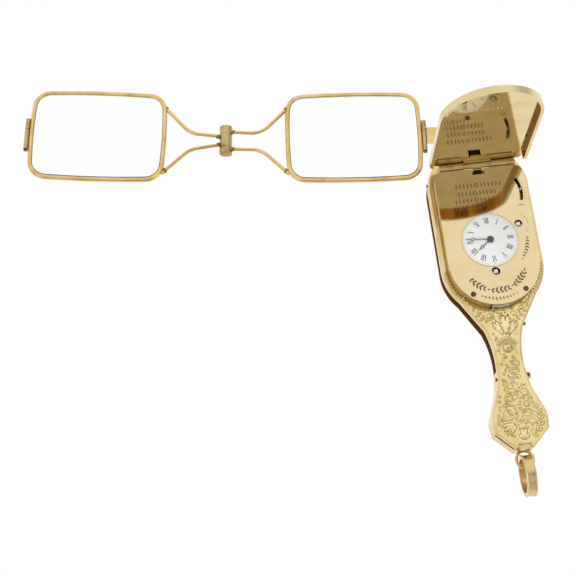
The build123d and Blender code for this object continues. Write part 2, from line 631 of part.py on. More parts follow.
# ---- lid ----
def make_lid_shell():
    """The tray, modelled closed over the watch. Near the hinge only its floor goes on."""
    inner = RIM_OUTER_RADIUS + LID_GAP
    outer = inner + LID_WALL
    inner_top = RIM_TOP_Z + LID_GAP
    outer_top = inner_top + LID_WALL
    outside = rounded_top(arched(outer, outer_top), LID_GAP + LID_WALL)
    inside = rounded_top(arched(inner, inner_top), LID_GAP)
    tray = bevelled(outside, LID_OUTSIDE_Y, LID_MOUTH_Y, LID_BEVEL)
    tray -= slab(inside, LID_INSIDE_Y, LID_MOUTH_Y + 1)
    return tray - box(-outer, outer, RIM_TOP_Z - LID_SIDE_DROP, outer_top + 1, LID_INSIDE_Y, LID_MOUTH_Y + 1)


def make_lid_knuckle():
    """The middle tube of the hinge, joined to the lid, with the tail that its spring presses."""
    half = KNUCKLE_INNER_X - KNUCKLE_GAP
    tube = rod_x(HINGE_Y, HINGE_Z, HINGE_RADIUS, -half, half)
    web = box(-half, half, HINGE_Z - WEB_HEIGHT, HINGE_Z, LID_INSIDE_Y, HINGE_Y - WEB_LAP)
    tail = box(-TAIL_HALF_WIDTH, TAIL_HALF_WIDTH, HINGE_Z - TAIL_THICKNESS / 2, HINGE_Z + TAIL_THICKNESS / 2,
               HINGE_Y, HINGE_Y + TAIL_REACH)
    return tube + web + tail - rod_x(HINGE_Y, HINGE_Z, HINGE_PIN_RADIUS + RUN, -2 * half, 2 * half)


# ---- glasses ----
def along_pair(u, w):
    """Place in the pair's plane: u along it from the bridge to the right, w across and up."""
    tilt = radians(BRIDGE_TILT)
    return BRIDGE_X + u * cos(tilt) + w * sin(tilt), BRIDGE_Z - u * sin(tilt) + w * cos(tilt)


def pair_plane(side):
    """Location of a lens: its centre, with local x running outwards from the bridge."""
    lean = radians(LENS_LEAN)
    half = LENS_SPACING / 2
    x, z = along_pair(side * half * cos(lean), half * sin(lean))
    turn = -BRIDGE_TILT + side * LENS_LEAN
    return Pos(x, z) * Rot(0, 0, turn)


def rim_outline(length, depth, corner):
    """A rounded rectangle whose four sides are slightly bowed."""
    a = length / 2 - RIM_BULGE
    b = depth / 2 - RIM_BULGE
    sides = [
        ThreePointArc((-a, b), (0, b + RIM_BULGE), (a, b)),
        ThreePointArc((a, b), (a + RIM_BULGE, 0), (a, -b)),
        ThreePointArc((a, -b), (0, -b - RIM_BULGE), (-a, -b)),
        ThreePointArc((-a, -b), (-a - RIM_BULGE, 0), (-a, b)),
    ]
    face = make_face(Wire(sides))
    return fillet(face.vertices(), corner)


def make_rim(side):
    outer = rim_outline(RIM_LENGTH, RIM_DEPTH, RIM_CORNER_RADIUS)
    inner = rim_outline(RIM_LENGTH - 2 * WIRE_SIZE, RIM_DEPTH - 2 * WIRE_SIZE, RIM_CORNER_RADIUS - WIRE_SIZE)
    ring = slab(pair_plane(side) * (outer - inner), LENS_Y - WIRE_SIZE / 2, LENS_Y + WIRE_SIZE / 2)
    front = ring.faces().sort_by(Axis.Y)[0]
    back = ring.faces().sort_by(Axis.Y)[-1]
    return chamfer(front.edges() + back.edges(), WIRE_CHAMFER)


def make_lens(side):
    edge = WIRE_SIZE + FIT
    pane = rim_outline(RIM_LENGTH - 2 * edge, RIM_DEPTH - 2 * edge, RIM_CORNER_RADIUS - edge)
    return slab(pair_plane(side) * pane, LENS_Y - LENS_THICKNESS / 2, LENS_Y + LENS_THICKNESS / 2)


def wire_path(side, up):
    """Centre line of a bridge wire: out of the rim's corner, over, and in to the hinge."""
    root_u = LENS_SPACING / 2 - RIM_LENGTH / 2 + WIRE_ROOT_IN
    outwards = 1 if up else -1
    split = BRIDGE_SPLIT_UP if up else BRIDGE_SPLIT_DOWN
    shift = -LEFT_TIP_IN if side < 0 else RIGHT_TIP_OUT
    root = (root_u * side, outwards * WIRE_ROOT_UP)
    knee = ((root_u - WIRE_KNEE_RUN) * side, UPPER_KNEE_UP if up else LOWER_KNEE_UP)
    tip = (BRIDGE_RADIUS * WIRE_TIP_SHARE * side, split + outwards * shift)
    return root, knee, tip


def make_bridge_wires(side):
    wires = []
    for up in (True, False):
        points = []
        for u, w in wire_path(side, up):
            x, z = along_pair(u, w)
            points.append((x, LENS_Y, z))
        path = FilletPolyline(*points, radius=WIRE_BEND)
        section = Plane(origin=path @ 0, z_dir=path % 0) * Circle(BRIDGE_WIRE_SIZE / 2)
        wires.append(sweep(section, path=path))
    cut_rim = slab(pair_plane(side) * rim_outline(RIM_LENGTH + 0.02, RIM_DEPTH + 0.02, RIM_CORNER_RADIUS),
                   LENS_Y - 2, LENS_Y + 2)
    pieces = []
    for wire in wires:
        rest = wire - cut_rim - barrel_space()
        pieces.append(rest.solids().sort_by(SortBy.VOLUME)[-1])
    return Compound(pieces)


def barrel_space():
    """The round room of the bridge hinge, which the wires end at."""
    x, z = along_pair(0, 0)
    axis = Plane(origin=(x, SLOT_MID_Y, z), z_dir=(sin(radians(BRIDGE_TILT)), 0, cos(radians(BRIDGE_TILT))))
    room = extrude(Circle(BRIDGE_RADIUS + 0.01), amount=BRIDGE_LENGTH / 2, both=True)
    return axis * room


def bridge_tube(low, high, bore):
    """A length of the bridge hinge between two heights along its axis."""
    x, z = along_pair(0, low)
    axis = Plane(origin=(x, SLOT_MID_Y, z), z_dir=(sin(radians(BRIDGE_TILT)), 0, cos(radians(BRIDGE_TILT))))
    return axis * extrude(Circle(BRIDGE_RADIUS) - Circle(bore), amount=high - low)


def make_right_knuckles():
    half = BRIDGE_LENGTH / 2
    upper = bridge_tube(BRIDGE_SPLIT_UP + BRIDGE_GAP / 2, half, BRIDGE_PIN_RADIUS + FIT)
    lower = bridge_tube(-half, BRIDGE_SPLIT_DOWN - BRIDGE_GAP / 2, BRIDGE_PIN_RADIUS + FIT)
    return Compound([upper, lower])


def make_left_knuckle():
    return bridge_tube(BRIDGE_SPLIT_DOWN + BRIDGE_GAP / 2, BRIDGE_SPLIT_UP - BRIDGE_GAP / 2,
                       BRIDGE_PIN_RADIUS + RUN)


def make_bridge_pin():
    half = BRIDGE_LENGTH / 2 + 0.12
    x, z = along_pair(0, -half)
    axis = Plane(origin=(x, SLOT_MID_Y, z), z_dir=(sin(radians(BRIDGE_TILT)), 0, cos(radians(BRIDGE_TILT))))
    return axis * extrude(Circle(BRIDGE_PIN_RADIUS), amount=2 * half)


def closing_tube(side, low, high, radius):
    """A length of the closing tube at a rim's outer end."""
    tilt = radians(-BRIDGE_TILT + side * LENS_LEAN)
    reach = RIM_LENGTH / 2 + CLOSING_RADIUS + FIT
    centre = pair_plane(side) * Pos(side * reach, low)
    origin = (centre.position.X, LENS_Y, centre.position.Y)
    axis = Plane(origin=origin, z_dir=(-sin(tilt), 0, cos(tilt)))
    return axis * extrude(Circle(radius), amount=high - low)


def make_closing_tube(side):
    half = CLOSING_LENGTH / 2
    upper = closing_tube(side, CLOSING_SPLIT + CLOSING_GAP / 2, half, CLOSING_RADIUS)
    lower = closing_tube(side, -half, CLOSING_SPLIT - CLOSING_GAP / 2, CLOSING_RADIUS)
    bore = closing_tube(side, -half - 1, half + 1, CLOSING_SHANK + FIT)
    return Compound([upper - bore, lower - bore])


def make_closing_screw(side):
    half = CLOSING_LENGTH / 2
    head = closing_tube(side, -half - CLOSING_HEAD, -half, CLOSING_RADIUS - CLOSING_HEAD_IN)
    shank = closing_tube(side, -half, half - CLOSING_TOP_WALL, CLOSING_SHANK)
    return head + shank


def make_swing_arm():
    """The plate from the right closing tube to the pivot in the case's ear."""
    tilt = -BRIDGE_TILT + LENS_LEAN
    reach = RIM_LENGTH / 2 + 2 * CLOSING_RADIUS + 2 * FIT
    start = pair_plane(1) * Pos(reach, 0)
    dx = PIVOT_X - start.position.X
    dz = PIVOT_Z - start.position.Y
    length = dx * cos(radians(tilt)) + dz * sin(radians(tilt))
    neck = Pos(start.position.X, start.position.Y) * Rot(0, 0, tilt) * Pos(length / 2, 0)
    sketch = neck * Rectangle(length, ARM_WIDTH) + Pos(PIVOT_X, PIVOT_Z) * Circle(ARM_HUB_RADIUS)
    sketch -= Pos(PIVOT_X, PIVOT_Z) * Circle(BUSH_RADIUS + RUN)
    return slab(sketch, LENS_Y - ARM_THICKNESS / 2, LENS_Y + ARM_THICKNESS / 2)


def make_pivot_bush():
    """The floating bush between the pivot screw and the arm."""
    front = SLOT_FRONT_Y + SEAT_GAP
    back = SLOT_BACK_Y - SEAT_GAP
    tube = disc(PIVOT_X, PIVOT_Z, BUSH_RADIUS, front, back)
    behind = LENS_Y + ARM_THICKNESS / 2 + SEAT_GAP
    flange = disc(PIVOT_X, PIVOT_Z, BUSH_FLANGE_RADIUS, behind, back)
    bore = disc(PIVOT_X, PIVOT_Z, PIVOT_PIN_RADIUS + RUN, front - 1, back + 1)
    return tube + flange - bore


def make_pivot_screw():
    shank = disc(PIVOT_X, PIVOT_Z, PIVOT_PIN_RADIUS, FRONT_Y, BACK_Y)
    top = FRONT_Y - PIVOT_HEAD_PROUD
    head = disc(PIVOT_X, PIVOT_Z, PIVOT_HEAD_RADIUS, top, FRONT_Y)
    riveted = disc(PIVOT_X, PIVOT_Z, PIVOT_RIVET_RADIUS, BACK_Y - PIVOT_RIVET_DEPTH, BACK_Y)
    slot = Rot(0, 0, PIVOT_SLOT_TURN) * Rectangle(3 * PIVOT_HEAD_RADIUS, PIVOT_SLOT_WIDTH)
    return head + shank + riveted - slab(Pos(PIVOT_X, PIVOT_Z) * slot, top - 1, top + PIVOT_SLOT_DEPTH)


# ---- buttons, latch, bow and ring ----
def make_lid_button():
    head = disc(0, BUTTON_Z, BUTTON_RADIUS, FRONT_Y - BUTTON_PROUD, FRONT_Y + BUTTON_SUNK)
    head = fillet(head.edges().sort_by(Axis.Y)[0], BUTTON_ROUND)
    stem = disc(0, BUTTON_Z, BUTTON_STEM_RADIUS, FRONT_Y + BUTTON_SUNK, SLOT_FRONT_Y - BUTTON_TRAVEL - RUN)
    return head + stem


def make_lid_latch():
    """The steel catch in the lower wall of the watch rim."""
    tip = CASE_ARC_Z - RIM_OUTER_RADIUS - LATCH_PROUD
    bar = box(-LATCH_HALF_WIDTH, LATCH_HALF_WIDTH, tip, tip + LATCH_LENGTH, LATCH_Y, LATCH_Y + LATCH_THICKNESS)
    nose = slab(Pos(0, CASE_ARC_Z) * Circle(RIM_OUTER_RADIUS + LATCH_PROUD), LATCH_Y - 1, LATCH_Y + 2)
    return bar & nose


def make_side_collar():
    start = WAIST_HALF_WIDTH - COLLAR_SINK
    collar = rod_x(SLOT_MID_Y, SIDE_BUTTON_Z, SIDE_COLLAR_RADIUS, start, WAIST_HALF_WIDTH + SIDE_COLLAR_LENGTH)
    return collar - rod_x(SLOT_MID_Y, SIDE_BUTTON_Z, SIDE_BUTTON_RADIUS + RUN, start - 1, 10)


def make_side_button():
    start = WAIST_HALF_WIDTH - COLLAR_SINK + SIDE_TRAVEL + RUN
    end = WAIST_HALF_WIDTH + SIDE_COLLAR_LENGTH + SIDE_BUTTON_PROUD
    head = rod_x(SLOT_MID_Y, SIDE_BUTTON_Z, SIDE_BUTTON_RADIUS, start, end)
    head = chamfer(head.edges().sort_by(Axis.X)[-1], 0.2)
    return head + rod_x(SLOT_MID_Y, SIDE_BUTTON_Z, SIDE_BUTTON_STEM, 0.6 + RUN, start)


def make_glasses_catch():
    """The bolt at the end of the slot; the side button's stem wedges it down."""
    top = SLOT_END_Z + CATCH_PROUD
    bottom = SIDE_BUTTON_Z - CATCH_DROP
    wedge_low = SIDE_BUTTON_Z - SIDE_BUTTON_STEM - 0.05
    reach = CATCH_RIGHT - CATCH_NOSE
    outline = make_face(Polyline(
        (CATCH_LEFT, top), (CATCH_NOSE, top), (CATCH_NOSE, wedge_low + reach), (CATCH_RIGHT, wedge_low),
        (CATCH_RIGHT, bottom), (CATCH_LEFT, bottom), close=True))
    return slab(outline, SLOT_MID_Y - CATCH_HALF_DEPTH, SLOT_MID_Y + CATCH_HALF_DEPTH)


def make_bow_post():
    """The gold block at the foot that carries the bow."""
    return box(-POST_HALF_WIDTH, POST_HALF_WIDTH, FOOT_Z - POST_FOOT, FOOT_Z + POST_DEPTH - FIT,
               FRONT_Y + POST_INSET, SLOT_FRONT_Y + POST_REACH)


def make_bow():
    ring = Plane(origin=(BOW_RADIUS, 0, BOW_Z), z_dir=(0, 0, 1)) * Circle(BOW_WIRE / 2)
    bow = revolve(ring, Axis((0, 0, BOW_Z), (0, 1, 0)), 360)
    return bow - box(-2 * BOW_RADIUS, 2 * BOW_RADIUS, FOOT_Z - POST_FOOT, FOOT_Z + POST_DEPTH, -2, 2)


def make_chain_ring():
    centre_z = BOW_Z + BOW_RADIUS - BOW_WIRE / 2 - RING_TOP_GAP - RING_OUTER_RADIUS
    band = Circle(RING_OUTER_RADIUS) - Circle(RING_OUTER_RADIUS - RING_WALL)
    plane = Plane(origin=(-RING_WIDTH / 2, 0, centre_z), x_dir=(0, 1, 0), z_dir=(1, 0, 0))
    return plane * extrude(band, amount=RING_WIDTH)


# ---- movement ----
def arbor_holes(places, radius, front, back):
    holes = None
    for x, z in places:
        hole = disc(x, z, radius, front, back)
        holes = hole if holes is None else holes + hole
    return holes


def make_main_plate():
    outline = arched(CAVITY_RADIUS - PLATE_EDGE_GAP, RIM_TOP_Z - RIM_WALL - PLATE_EDGE_GAP)
    plate = slab(outline, MAIN_PLATE_FRONT_Y, MAIN_PLATE_BACK_Y)
    front = MAIN_PLATE_FRONT_Y - 1
    back = MAIN_PLATE_BACK_Y + 1
    plate -= disc(0, DIAL_Z, CENTRE_HOLE_RADIUS, front, back)
    plate -= disc(0, WINDING_Z, WINDING_COLLAR_RADIUS + RUN, front, back)
    holes = (THIRD_AT, FOURTH_AT, ESCAPE_AT, (BALANCE_X, BALANCE_Z), MINUTE_AT, (SETTING_X, SETTING_Z))
    return plate - arbor_holes(holes, PIVOT_HOLE, front, back)


def make_pillars():
    return Compound([disc(x, z, PILLAR_RADIUS, MAIN_PLATE_BACK_Y, BRIDGE_FRONT_Y) for x, z in PILLARS])


def make_train_bridge():
    outline = arched(CAVITY_RADIUS - BRIDGE_EDGE_GAP, TRAIN_BRIDGE_TOP_Z)
    outline -= Pos(BALANCE_X, BALANCE_Z) * Circle(BALANCE_RADIUS - BALANCE_RIM)
    bridge = slab(outline, BRIDGE_FRONT_Y, LINER_FRONT_Y)
    holes = ((0, DIAL_Z), (0, WINDING_Z), THIRD_AT, FOURTH_AT)
    return bridge - arbor_holes(holes, PIVOT_HOLE, BRIDGE_FRONT_Y - 1, LINER_FRONT_Y - HOLE_FLOOR)


def make_balance_cock():
    arm_x, arm_z = COCK_ARM
    arm = Rot(0, 0, COCK_ARM_TURN) * Rectangle(COCK_ARM_LENGTH, COCK_ARM_WIDTH)
    outline = Pos(BALANCE_X, BALANCE_Z) * (Circle(COCK_RADIUS) + Pos(arm_x, arm_z) * arm)
    outline &= arched(CAVITY_RADIUS - BRIDGE_EDGE_GAP, RIM_TOP_Z - RIM_WALL - BRIDGE_EDGE_GAP)
    outline -= arched(CAVITY_RADIUS, TRAIN_BRIDGE_TOP_Z + SEAT_GAP)
    cock = slab(outline, BRIDGE_FRONT_Y, LINER_FRONT_Y)
    return cock - disc(BALANCE_X, BALANCE_Z, PIVOT_HOLE, BRIDGE_FRONT_Y - 1, LINER_FRONT_Y - HOLE_FLOOR)


def make_escape_bridge():
    """The small steel strip that carries the escape wheel under the balance."""
    x, z = ESCAPE_AT
    foot_x, foot_z = ESCAPE_FOOT
    length = hypot(foot_x - x, foot_z - z)
    turn = degrees(atan2(foot_z - z, foot_x - x))
    end = ESCAPE_STRIP_WIDTH / 2 + ESCAPE_WHEEL_THICKNESS
    strip = Rot(0, 0, turn) * Pos(length / 2, 0) * Rectangle(length, ESCAPE_STRIP_WIDTH)
    outline = Pos(x, z) * (Circle(end) + strip) + Pos(foot_x, foot_z) * Circle(end)
    back = ESCAPE_BRIDGE_Y + ESCAPE_BRIDGE_THICKNESS
    strip = slab(outline, ESCAPE_BRIDGE_Y, back)
    foot = disc(foot_x, foot_z, PILLAR_RADIUS - 0.1, MAIN_PLATE_BACK_Y, back)
    return strip + foot - disc(x, z, PIVOT_HOLE, ESCAPE_BRIDGE_Y - 1, back + 1)


def make_barrel():
    drum = Circle(BARREL_MODULE * BARREL_TEETH / 2 - DRUM_INSET)
    teeth = Pos(0, WINDING_Z) * gear_sketch(BARREL_TEETH, BARREL_MODULE)
    body = slab(teeth, BARREL_TEETH_Y, BARREL_TEETH_Y + BARREL_TEETH_THICKNESS)
    body += slab(Pos(0, WINDING_Z) * drum, DRUM_FRONT_Y, DRUM_BACK_Y)
    return body - disc(0, WINDING_Z, WINDING_SHAFT_RADIUS + RUN, DRUM_FRONT_Y - 1, DRUM_BACK_Y + 1)


def make_winding_arbor():
    collar_back = DRUM_FRONT_Y - FIT
    shaft_back = DRUM_BACK_Y + RUN
    shaft = disc(0, WINDING_Z, WINDING_SHAFT_RADIUS, collar_back, shaft_back)
    shaft += disc(0, WINDING_Z, ARBOR_RADIUS, shaft_back, ARBOR_END_Y)
    shaft += disc(0, WINDING_Z, WINDING_COLLAR_RADIUS, MAIN_PLATE_FRONT_Y, collar_back)
    square = Pos(0, WINDING_Z) * Rectangle(SQUARE_SIDE, SQUARE_SIDE)
    return shaft + slab(square, PLATE_FRONT_Y + SQUARE_SINK, MAIN_PLATE_FRONT_Y)


def make_centre_wheel():
    phase = mesh_phase(0, BARREL_TEETH, CENTRE_PINION, 90)
    pinion_back = CENTRE_PINION_Y + CENTRE_PINION_LENGTH
    teeth = Pos(0, DIAL_Z) * gear_sketch(CENTRE_PINION, BARREL_MODULE, phase)
    pinion = slab(teeth, CENTRE_PINION_Y, pinion_back)
    plate = wheel(0, DIAL_Z, CENTRE_TEETH, CENTRE_MODULE, 0, CENTRE_WHEEL_Y)
    arbor = disc(0, DIAL_Z, CENTRE_ARBOR_RADIUS, CENTRE_ARBOR_Y, pinion_back)
    return pinion + plate + arbor + disc(0, DIAL_Z, ARBOR_RADIUS, MINUTE_HAND_Y, ARBOR_END_Y)


def make_train_wheel(place, before, before_phase, pinion, pinion_module, direction, teeth, module, levels):
    """An arbor with its pinion and wheel; levels are the pinion's and the wheel's front faces."""
    phase = mesh_phase(before_phase, before, pinion, direction)
    pinion_y, wheel_y = levels
    body = slab(Pos(*place) * gear_sketch(pinion, pinion_module, phase), pinion_y, pinion_y + PINION_LENGTH)
    body += wheel(*place, teeth, module, 0, wheel_y, hub=SMALL_HUB)
    return body + disc(*place, ARBOR_RADIUS, ARBOR_FOOT_Y, ARBOR_END_Y)


def make_escape_wheel():
    phase = mesh_phase(0, FOURTH_TEETH, ESCAPE_PINION, ESCAPE_DIRECTION)
    body = slab(Pos(*ESCAPE_AT) * gear_sketch(ESCAPE_PINION, FOURTH_MODULE, phase), ESCAPE_PINION_Y,
                ESCAPE_PINION_Y + ESCAPE_PINION_LENGTH)
    points = []
    for index in range(ESCAPE_TEETH):
        angle = index * 360 / ESCAPE_TEETH
        points.append(polar(0, 0, ESCAPE_RADIUS, angle))
        points.append(polar(0, 0, ESCAPE_RADIUS - ESCAPE_TOOTH, angle + 4))
        points.append(polar(0, 0, ESCAPE_RADIUS - ESCAPE_TOOTH, angle + 17))
    star = make_face(Polyline(*points, close=True))
    star -= crossings(ESCAPE_RADIUS - ESCAPE_TOOTH - 0.3, 0.4, 3, 0.25)
    body += slab(Pos(*ESCAPE_AT) * star, ESCAPE_WHEEL_Y, ESCAPE_WHEEL_Y + ESCAPE_WHEEL_THICKNESS)
    end = ESCAPE_BRIDGE_Y + ESCAPE_BRIDGE_THICKNESS - FIT
    return body + disc(*ESCAPE_AT, ARBOR_RADIUS, ARBOR_FOOT_Y, end)


def make_balance_wheel():
    ring = Circle(BALANCE_RADIUS) - crossings(BALANCE_RADIUS - BALANCE_RIM, SMALL_HUB, 3, 0.4)
    body = slab(Pos(BALANCE_X, BALANCE_Z) * ring, BALANCE_Y, BALANCE_Y + BALANCE_THICKNESS)
    cylinder = disc(BALANCE_X, BALANCE_Z, CYLINDER_RADIUS, CYLINDER_FRONT_Y, HAIRSPRING_Y - FIT)
    return body + cylinder + disc(BALANCE_X, BALANCE_Z, ARBOR_RADIUS, ARBOR_FOOT_Y, ARBOR_END_Y)


def make_hairspring():
    """A flat spiral between the balance and its cock."""
    inner = []
    outer = []
    steps = HAIRSPRING_TURNS * HAIRSPRING_STEPS
    for index in range(steps + 1):
        angle = 2 * pi * index / HAIRSPRING_STEPS
        radius = HAIRSPRING_INNER + (HAIRSPRING_RADIUS - HAIRSPRING_INNER) * index / steps
        inner.append((radius * cos(angle), radius * sin(angle)))
        outer.append(((radius + HAIRSPRING_WALL) * cos(angle), (radius + HAIRSPRING_WALL) * sin(angle)))
    ribbon = make_face(Polyline(*inner, *reversed(outer), close=True))
    return slab(Pos(BALANCE_X, BALANCE_Z) * ribbon, HAIRSPRING_Y, HAIRSPRING_Y + HAIRSPRING_HEIGHT)


def make_cannon_pinion():
    back = CANNON_TEETH_Y + CANNON_TEETH_THICKNESS
    teeth = slab(Pos(0, DIAL_Z) * gear_sketch(CANNON_TEETH, MOTION_MODULE), CANNON_TEETH_Y, back)
    pipe = disc(0, DIAL_Z, CANNON_RADIUS, MINUTE_HAND_Y + HAND_THICKNESS, back)
    return teeth + pipe - disc(0, DIAL_Z, ARBOR_RADIUS + FIT, MINUTE_HAND_Y - 1, back + 1)


def make_minute_wheel():
    phase = mesh_phase(0, CANNON_TEETH, MINUTE_TEETH, SETTING_DIRECTION)
    body = wheel(*MINUTE_AT, MINUTE_TEETH, MOTION_MODULE, phase, MINUTE_WHEEL_Y)
    body += slab(Pos(*MINUTE_AT) * gear_sketch(MINUTE_PINION, HOUR_MODULE), MINUTE_PINION_Y, MINUTE_WHEEL_Y)
    return body + disc(*MINUTE_AT, ARBOR_RADIUS, MINUTE_PINION_Y - RUN, ARBOR_FOOT_Y)


def make_hour_wheel():
    phase = mesh_phase(0, MINUTE_PINION, HOUR_TEETH, SETTING_DIRECTION + 180)
    back = HOUR_WHEEL_Y + WHEEL_THICKNESS
    body = wheel(0, DIAL_Z, HOUR_TEETH, HOUR_MODULE, phase, HOUR_WHEEL_Y)
    body += disc(0, DIAL_Z, HOUR_PIPE_RADIUS, HOUR_HAND_Y + HAND_THICKNESS, back)
    return body - disc(0, DIAL_Z, CANNON_RADIUS + RUN, HOUR_HAND_Y - 1, back + 1)


def make_setting_arbor():
    before = mesh_phase(0, CANNON_TEETH, MINUTE_TEETH, SETTING_DIRECTION)
    phase = mesh_phase(before, MINUTE_TEETH, SETTING_TEETH, SETTING_DIRECTION)
    body = wheel(SETTING_X, SETTING_Z, SETTING_TEETH, MOTION_MODULE, phase, MINUTE_WHEEL_Y)
    body += disc(SETTING_X, SETTING_Z, SETTING_HUB_RADIUS, HOUR_WHEEL_Y, MINUTE_WHEEL_Y)
    square = Pos(SETTING_X, SETTING_Z) * Rectangle(SETTING_SIDE, SETTING_SIDE)
    body += slab(square, PLATE_FRONT_Y + SQUARE_SINK, HOUR_WHEEL_Y)
    return body + disc(SETTING_X, SETTING_Z, ARBOR_RADIUS, MINUTE_WHEEL_Y, ARBOR_FOOT_Y)


def make_hand(length, angle, front, hole):
    """A thin hand with a ring near its tip, turned clockwise from twelve."""
    ring_at = HAND_RING_SHARE * length
    blade = Pos(0, length / 2) * Rectangle(HAND_WIDTH, length)
    ring = Pos(0, ring_at) * Circle(HAND_RING_RADIUS)
    sketch = blade + ring + Circle(HAND_BOSS_RADIUS)
    sketch -= Pos(0, ring_at) * Circle(HAND_RING_RADIUS - HAND_RING_WALL)
    sketch -= Circle(hole)
    return slab(Pos(0, DIAL_Z) * Rot(0, 0, -angle) * sketch, front, front + HAND_THICKNESS)


def make_regulator():
    mean = (REGULATOR_LOW + REGULATOR_HIGH) / 2
    front = PLATE_BACK_Y + SEAT_GAP
    back = front + REGULATOR_THICKNESS
    lever = Rot(0, 0, mean) * Pos(REGULATOR_RADIUS / 2, 0) * Rectangle(REGULATOR_RADIUS, REGULATOR_WIDTH)
    sketch = lever + Circle(REGULATOR_HUB)
    sketch += Pos(*polar(0, 0, REGULATOR_RADIUS, mean)) * Circle(REGULATOR_WIDTH / 2)
    body = slab(Pos(BALANCE_X, BALANCE_Z) * (sketch - Circle(REGULATOR_HOLE)), front, back)
    tip = polar(BALANCE_X, BALANCE_Z, REGULATOR_RADIUS, mean)
    return body + disc(*tip, REGULATOR_TIP, PLATE_FRONT_Y - REGULATOR_PROUD, back)


LID_TO_REST = (Axis((0, HINGE_Y, HINGE_Z), (1, 0, 0)), -LID_OPEN_ANGLE)


def opened(lid_piece):
    """Turns a piece of the lid from closed to the open rest position."""
    return lid_piece.rotate(*LID_TO_REST)


NODES = {
    "back_plate": make_back_plate(),
    "front_body": make_front_body(),
    "slot_spine": make_spine(),
    "handle_block": make_handle_block(),
    "slot_liner": make_slot_liner(),
    "watch_rim": make_watch_rim(),
    "watch_plate": make_watch_plate(),
    "plate_screws": make_plate_screws(),
    "dial_bezel": make_dial_bezel(),
    "dial": make_dial(),
    "case_pins": make_case_pins(),
    "case_knuckles": make_case_knuckles(),
    "lid_hinge_pin": make_lid_pin(),
    "lid_spring": make_lid_spring(),
    "lid_shell": opened(make_lid_shell()),
    "lid_knuckle": opened(make_lid_knuckle()),
    "lid_button": make_lid_button(),
    "lid_latch": make_lid_latch(),
    "side_collar": make_side_collar(),
    "side_button": make_side_button(),
    "glasses_catch": make_glasses_catch(),
    "bow_post": make_bow_post(),
    "bow": make_bow(),
    "chain_ring": make_chain_ring(),
    "pivot_screw": make_pivot_screw(),
    "pivot_bush": make_pivot_bush(),
    "swing_arm": make_swing_arm(),
    "bridge_pin": make_bridge_pin(),
    "right_bridge_knuckles": make_right_knuckles(),
    "left_bridge_knuckle": make_left_knuckle(),
    "movement_plate": make_main_plate(),
    "movement_pillars": make_pillars(),
    "train_bridge": make_train_bridge(),
    "balance_cock": make_balance_cock(),
    "escape_bridge": make_escape_bridge(),
    "barrel": make_barrel(),
    "winding_arbor": make_winding_arbor(),
    "centre_wheel": make_centre_wheel(),
    "third_wheel": make_train_wheel(THIRD_AT, CENTRE_TEETH, 0, THIRD_PINION, CENTRE_MODULE, THIRD_DIRECTION,
                                    THIRD_TEETH, THIRD_MODULE, (THIRD_PINION_Y, THIRD_WHEEL_Y)),
    "fourth_wheel": make_train_wheel(FOURTH_AT, THIRD_TEETH, 0, FOURTH_PINION, THIRD_MODULE, FOURTH_DIRECTION,
                                     FOURTH_TEETH, FOURTH_MODULE, (FOURTH_PINION_Y, FOURTH_WHEEL_Y)),
    "escape_wheel": make_escape_wheel(),
    "balance_wheel": make_balance_wheel(),
    "hairspring": make_hairspring(),
    "cannon_pinion": make_cannon_pinion(),
    "minute_wheel": make_minute_wheel(),
    "hour_wheel": make_hour_wheel(),
    "setting_arbor": make_setting_arbor(),
    "minute_hand": make_hand(MINUTE_HAND_LENGTH, MINUTE_HAND_ANGLE, MINUTE_HAND_Y, ARBOR_RADIUS + FIT),
    "hour_hand": make_hand(HOUR_HAND_LENGTH, HOUR_HAND_ANGLE, HOUR_HAND_Y, 0.4 + RUN),
    "regulator": make_regulator(),
}
for name, side in (("left", -1), ("right", 1)):
    NODES[name + "_rim"] = make_rim(side)
    NODES[name + "_lens"] = make_lens(side)
    NODES[name + "_bridge_wires"] = make_bridge_wires(side)
    NODES[name + "_closing_tube"] = make_closing_tube(side)
    NODES[name + "_closing_screw"] = make_closing_screw(side)

os.makedirs("parts", exist_ok=True)
for name, shape in NODES.items():
    export_step(shape, "parts/" + name + ".step")
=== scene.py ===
import logging
import math
import random
from dataclasses import dataclass, field
from enum import Enum
from typing import Callable, Sequence

import bmesh
import bpy
from bmesh.types import BMesh as Mesh, BMFace as Face, BMVert as Corner
from bpy.types import Material, NodeSocket as Socket
from mathutils import Matrix, Vector


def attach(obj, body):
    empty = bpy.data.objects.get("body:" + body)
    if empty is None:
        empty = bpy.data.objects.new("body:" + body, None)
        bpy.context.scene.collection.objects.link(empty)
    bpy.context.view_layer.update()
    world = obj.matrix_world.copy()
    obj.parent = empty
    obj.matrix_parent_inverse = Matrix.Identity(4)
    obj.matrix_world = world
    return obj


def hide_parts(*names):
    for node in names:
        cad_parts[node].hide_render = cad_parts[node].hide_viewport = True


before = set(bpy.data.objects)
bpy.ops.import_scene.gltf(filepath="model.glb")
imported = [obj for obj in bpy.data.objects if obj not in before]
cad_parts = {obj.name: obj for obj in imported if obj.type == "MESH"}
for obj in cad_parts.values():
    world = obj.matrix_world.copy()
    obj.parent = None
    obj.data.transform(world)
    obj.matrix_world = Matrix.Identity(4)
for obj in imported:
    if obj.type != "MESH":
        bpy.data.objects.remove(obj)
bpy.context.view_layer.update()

LOG = logging.getLogger("lorgnette")
logging.basicConfig(level=logging.INFO, format="%(name)s: %(message)s")

MM = 0.001
TARNISH = (0.20, 0.11, 0.04)
# painted shade, with some patina, inside the slot that takes the glasses; the lighter brown streaks it, and the lid's
# inner walls too
SLOT_SHADE_BROWN = (0.10, 0.036, 0.008)
SLOT_BROWN_LIGHT = (0.20, 0.085, 0.02)
PATCHES, SPOTS, CLOUDS, LINES = 170.0, 420.0, 900.0, 2600.0  # features per metre in the metals
MERGE = 1e-6  # points nearer than this, in metres, are one
Triple = tuple[float, float, float]
Colour = Triple
Point = tuple[float, float]
Rows = tuple[tuple, ...]

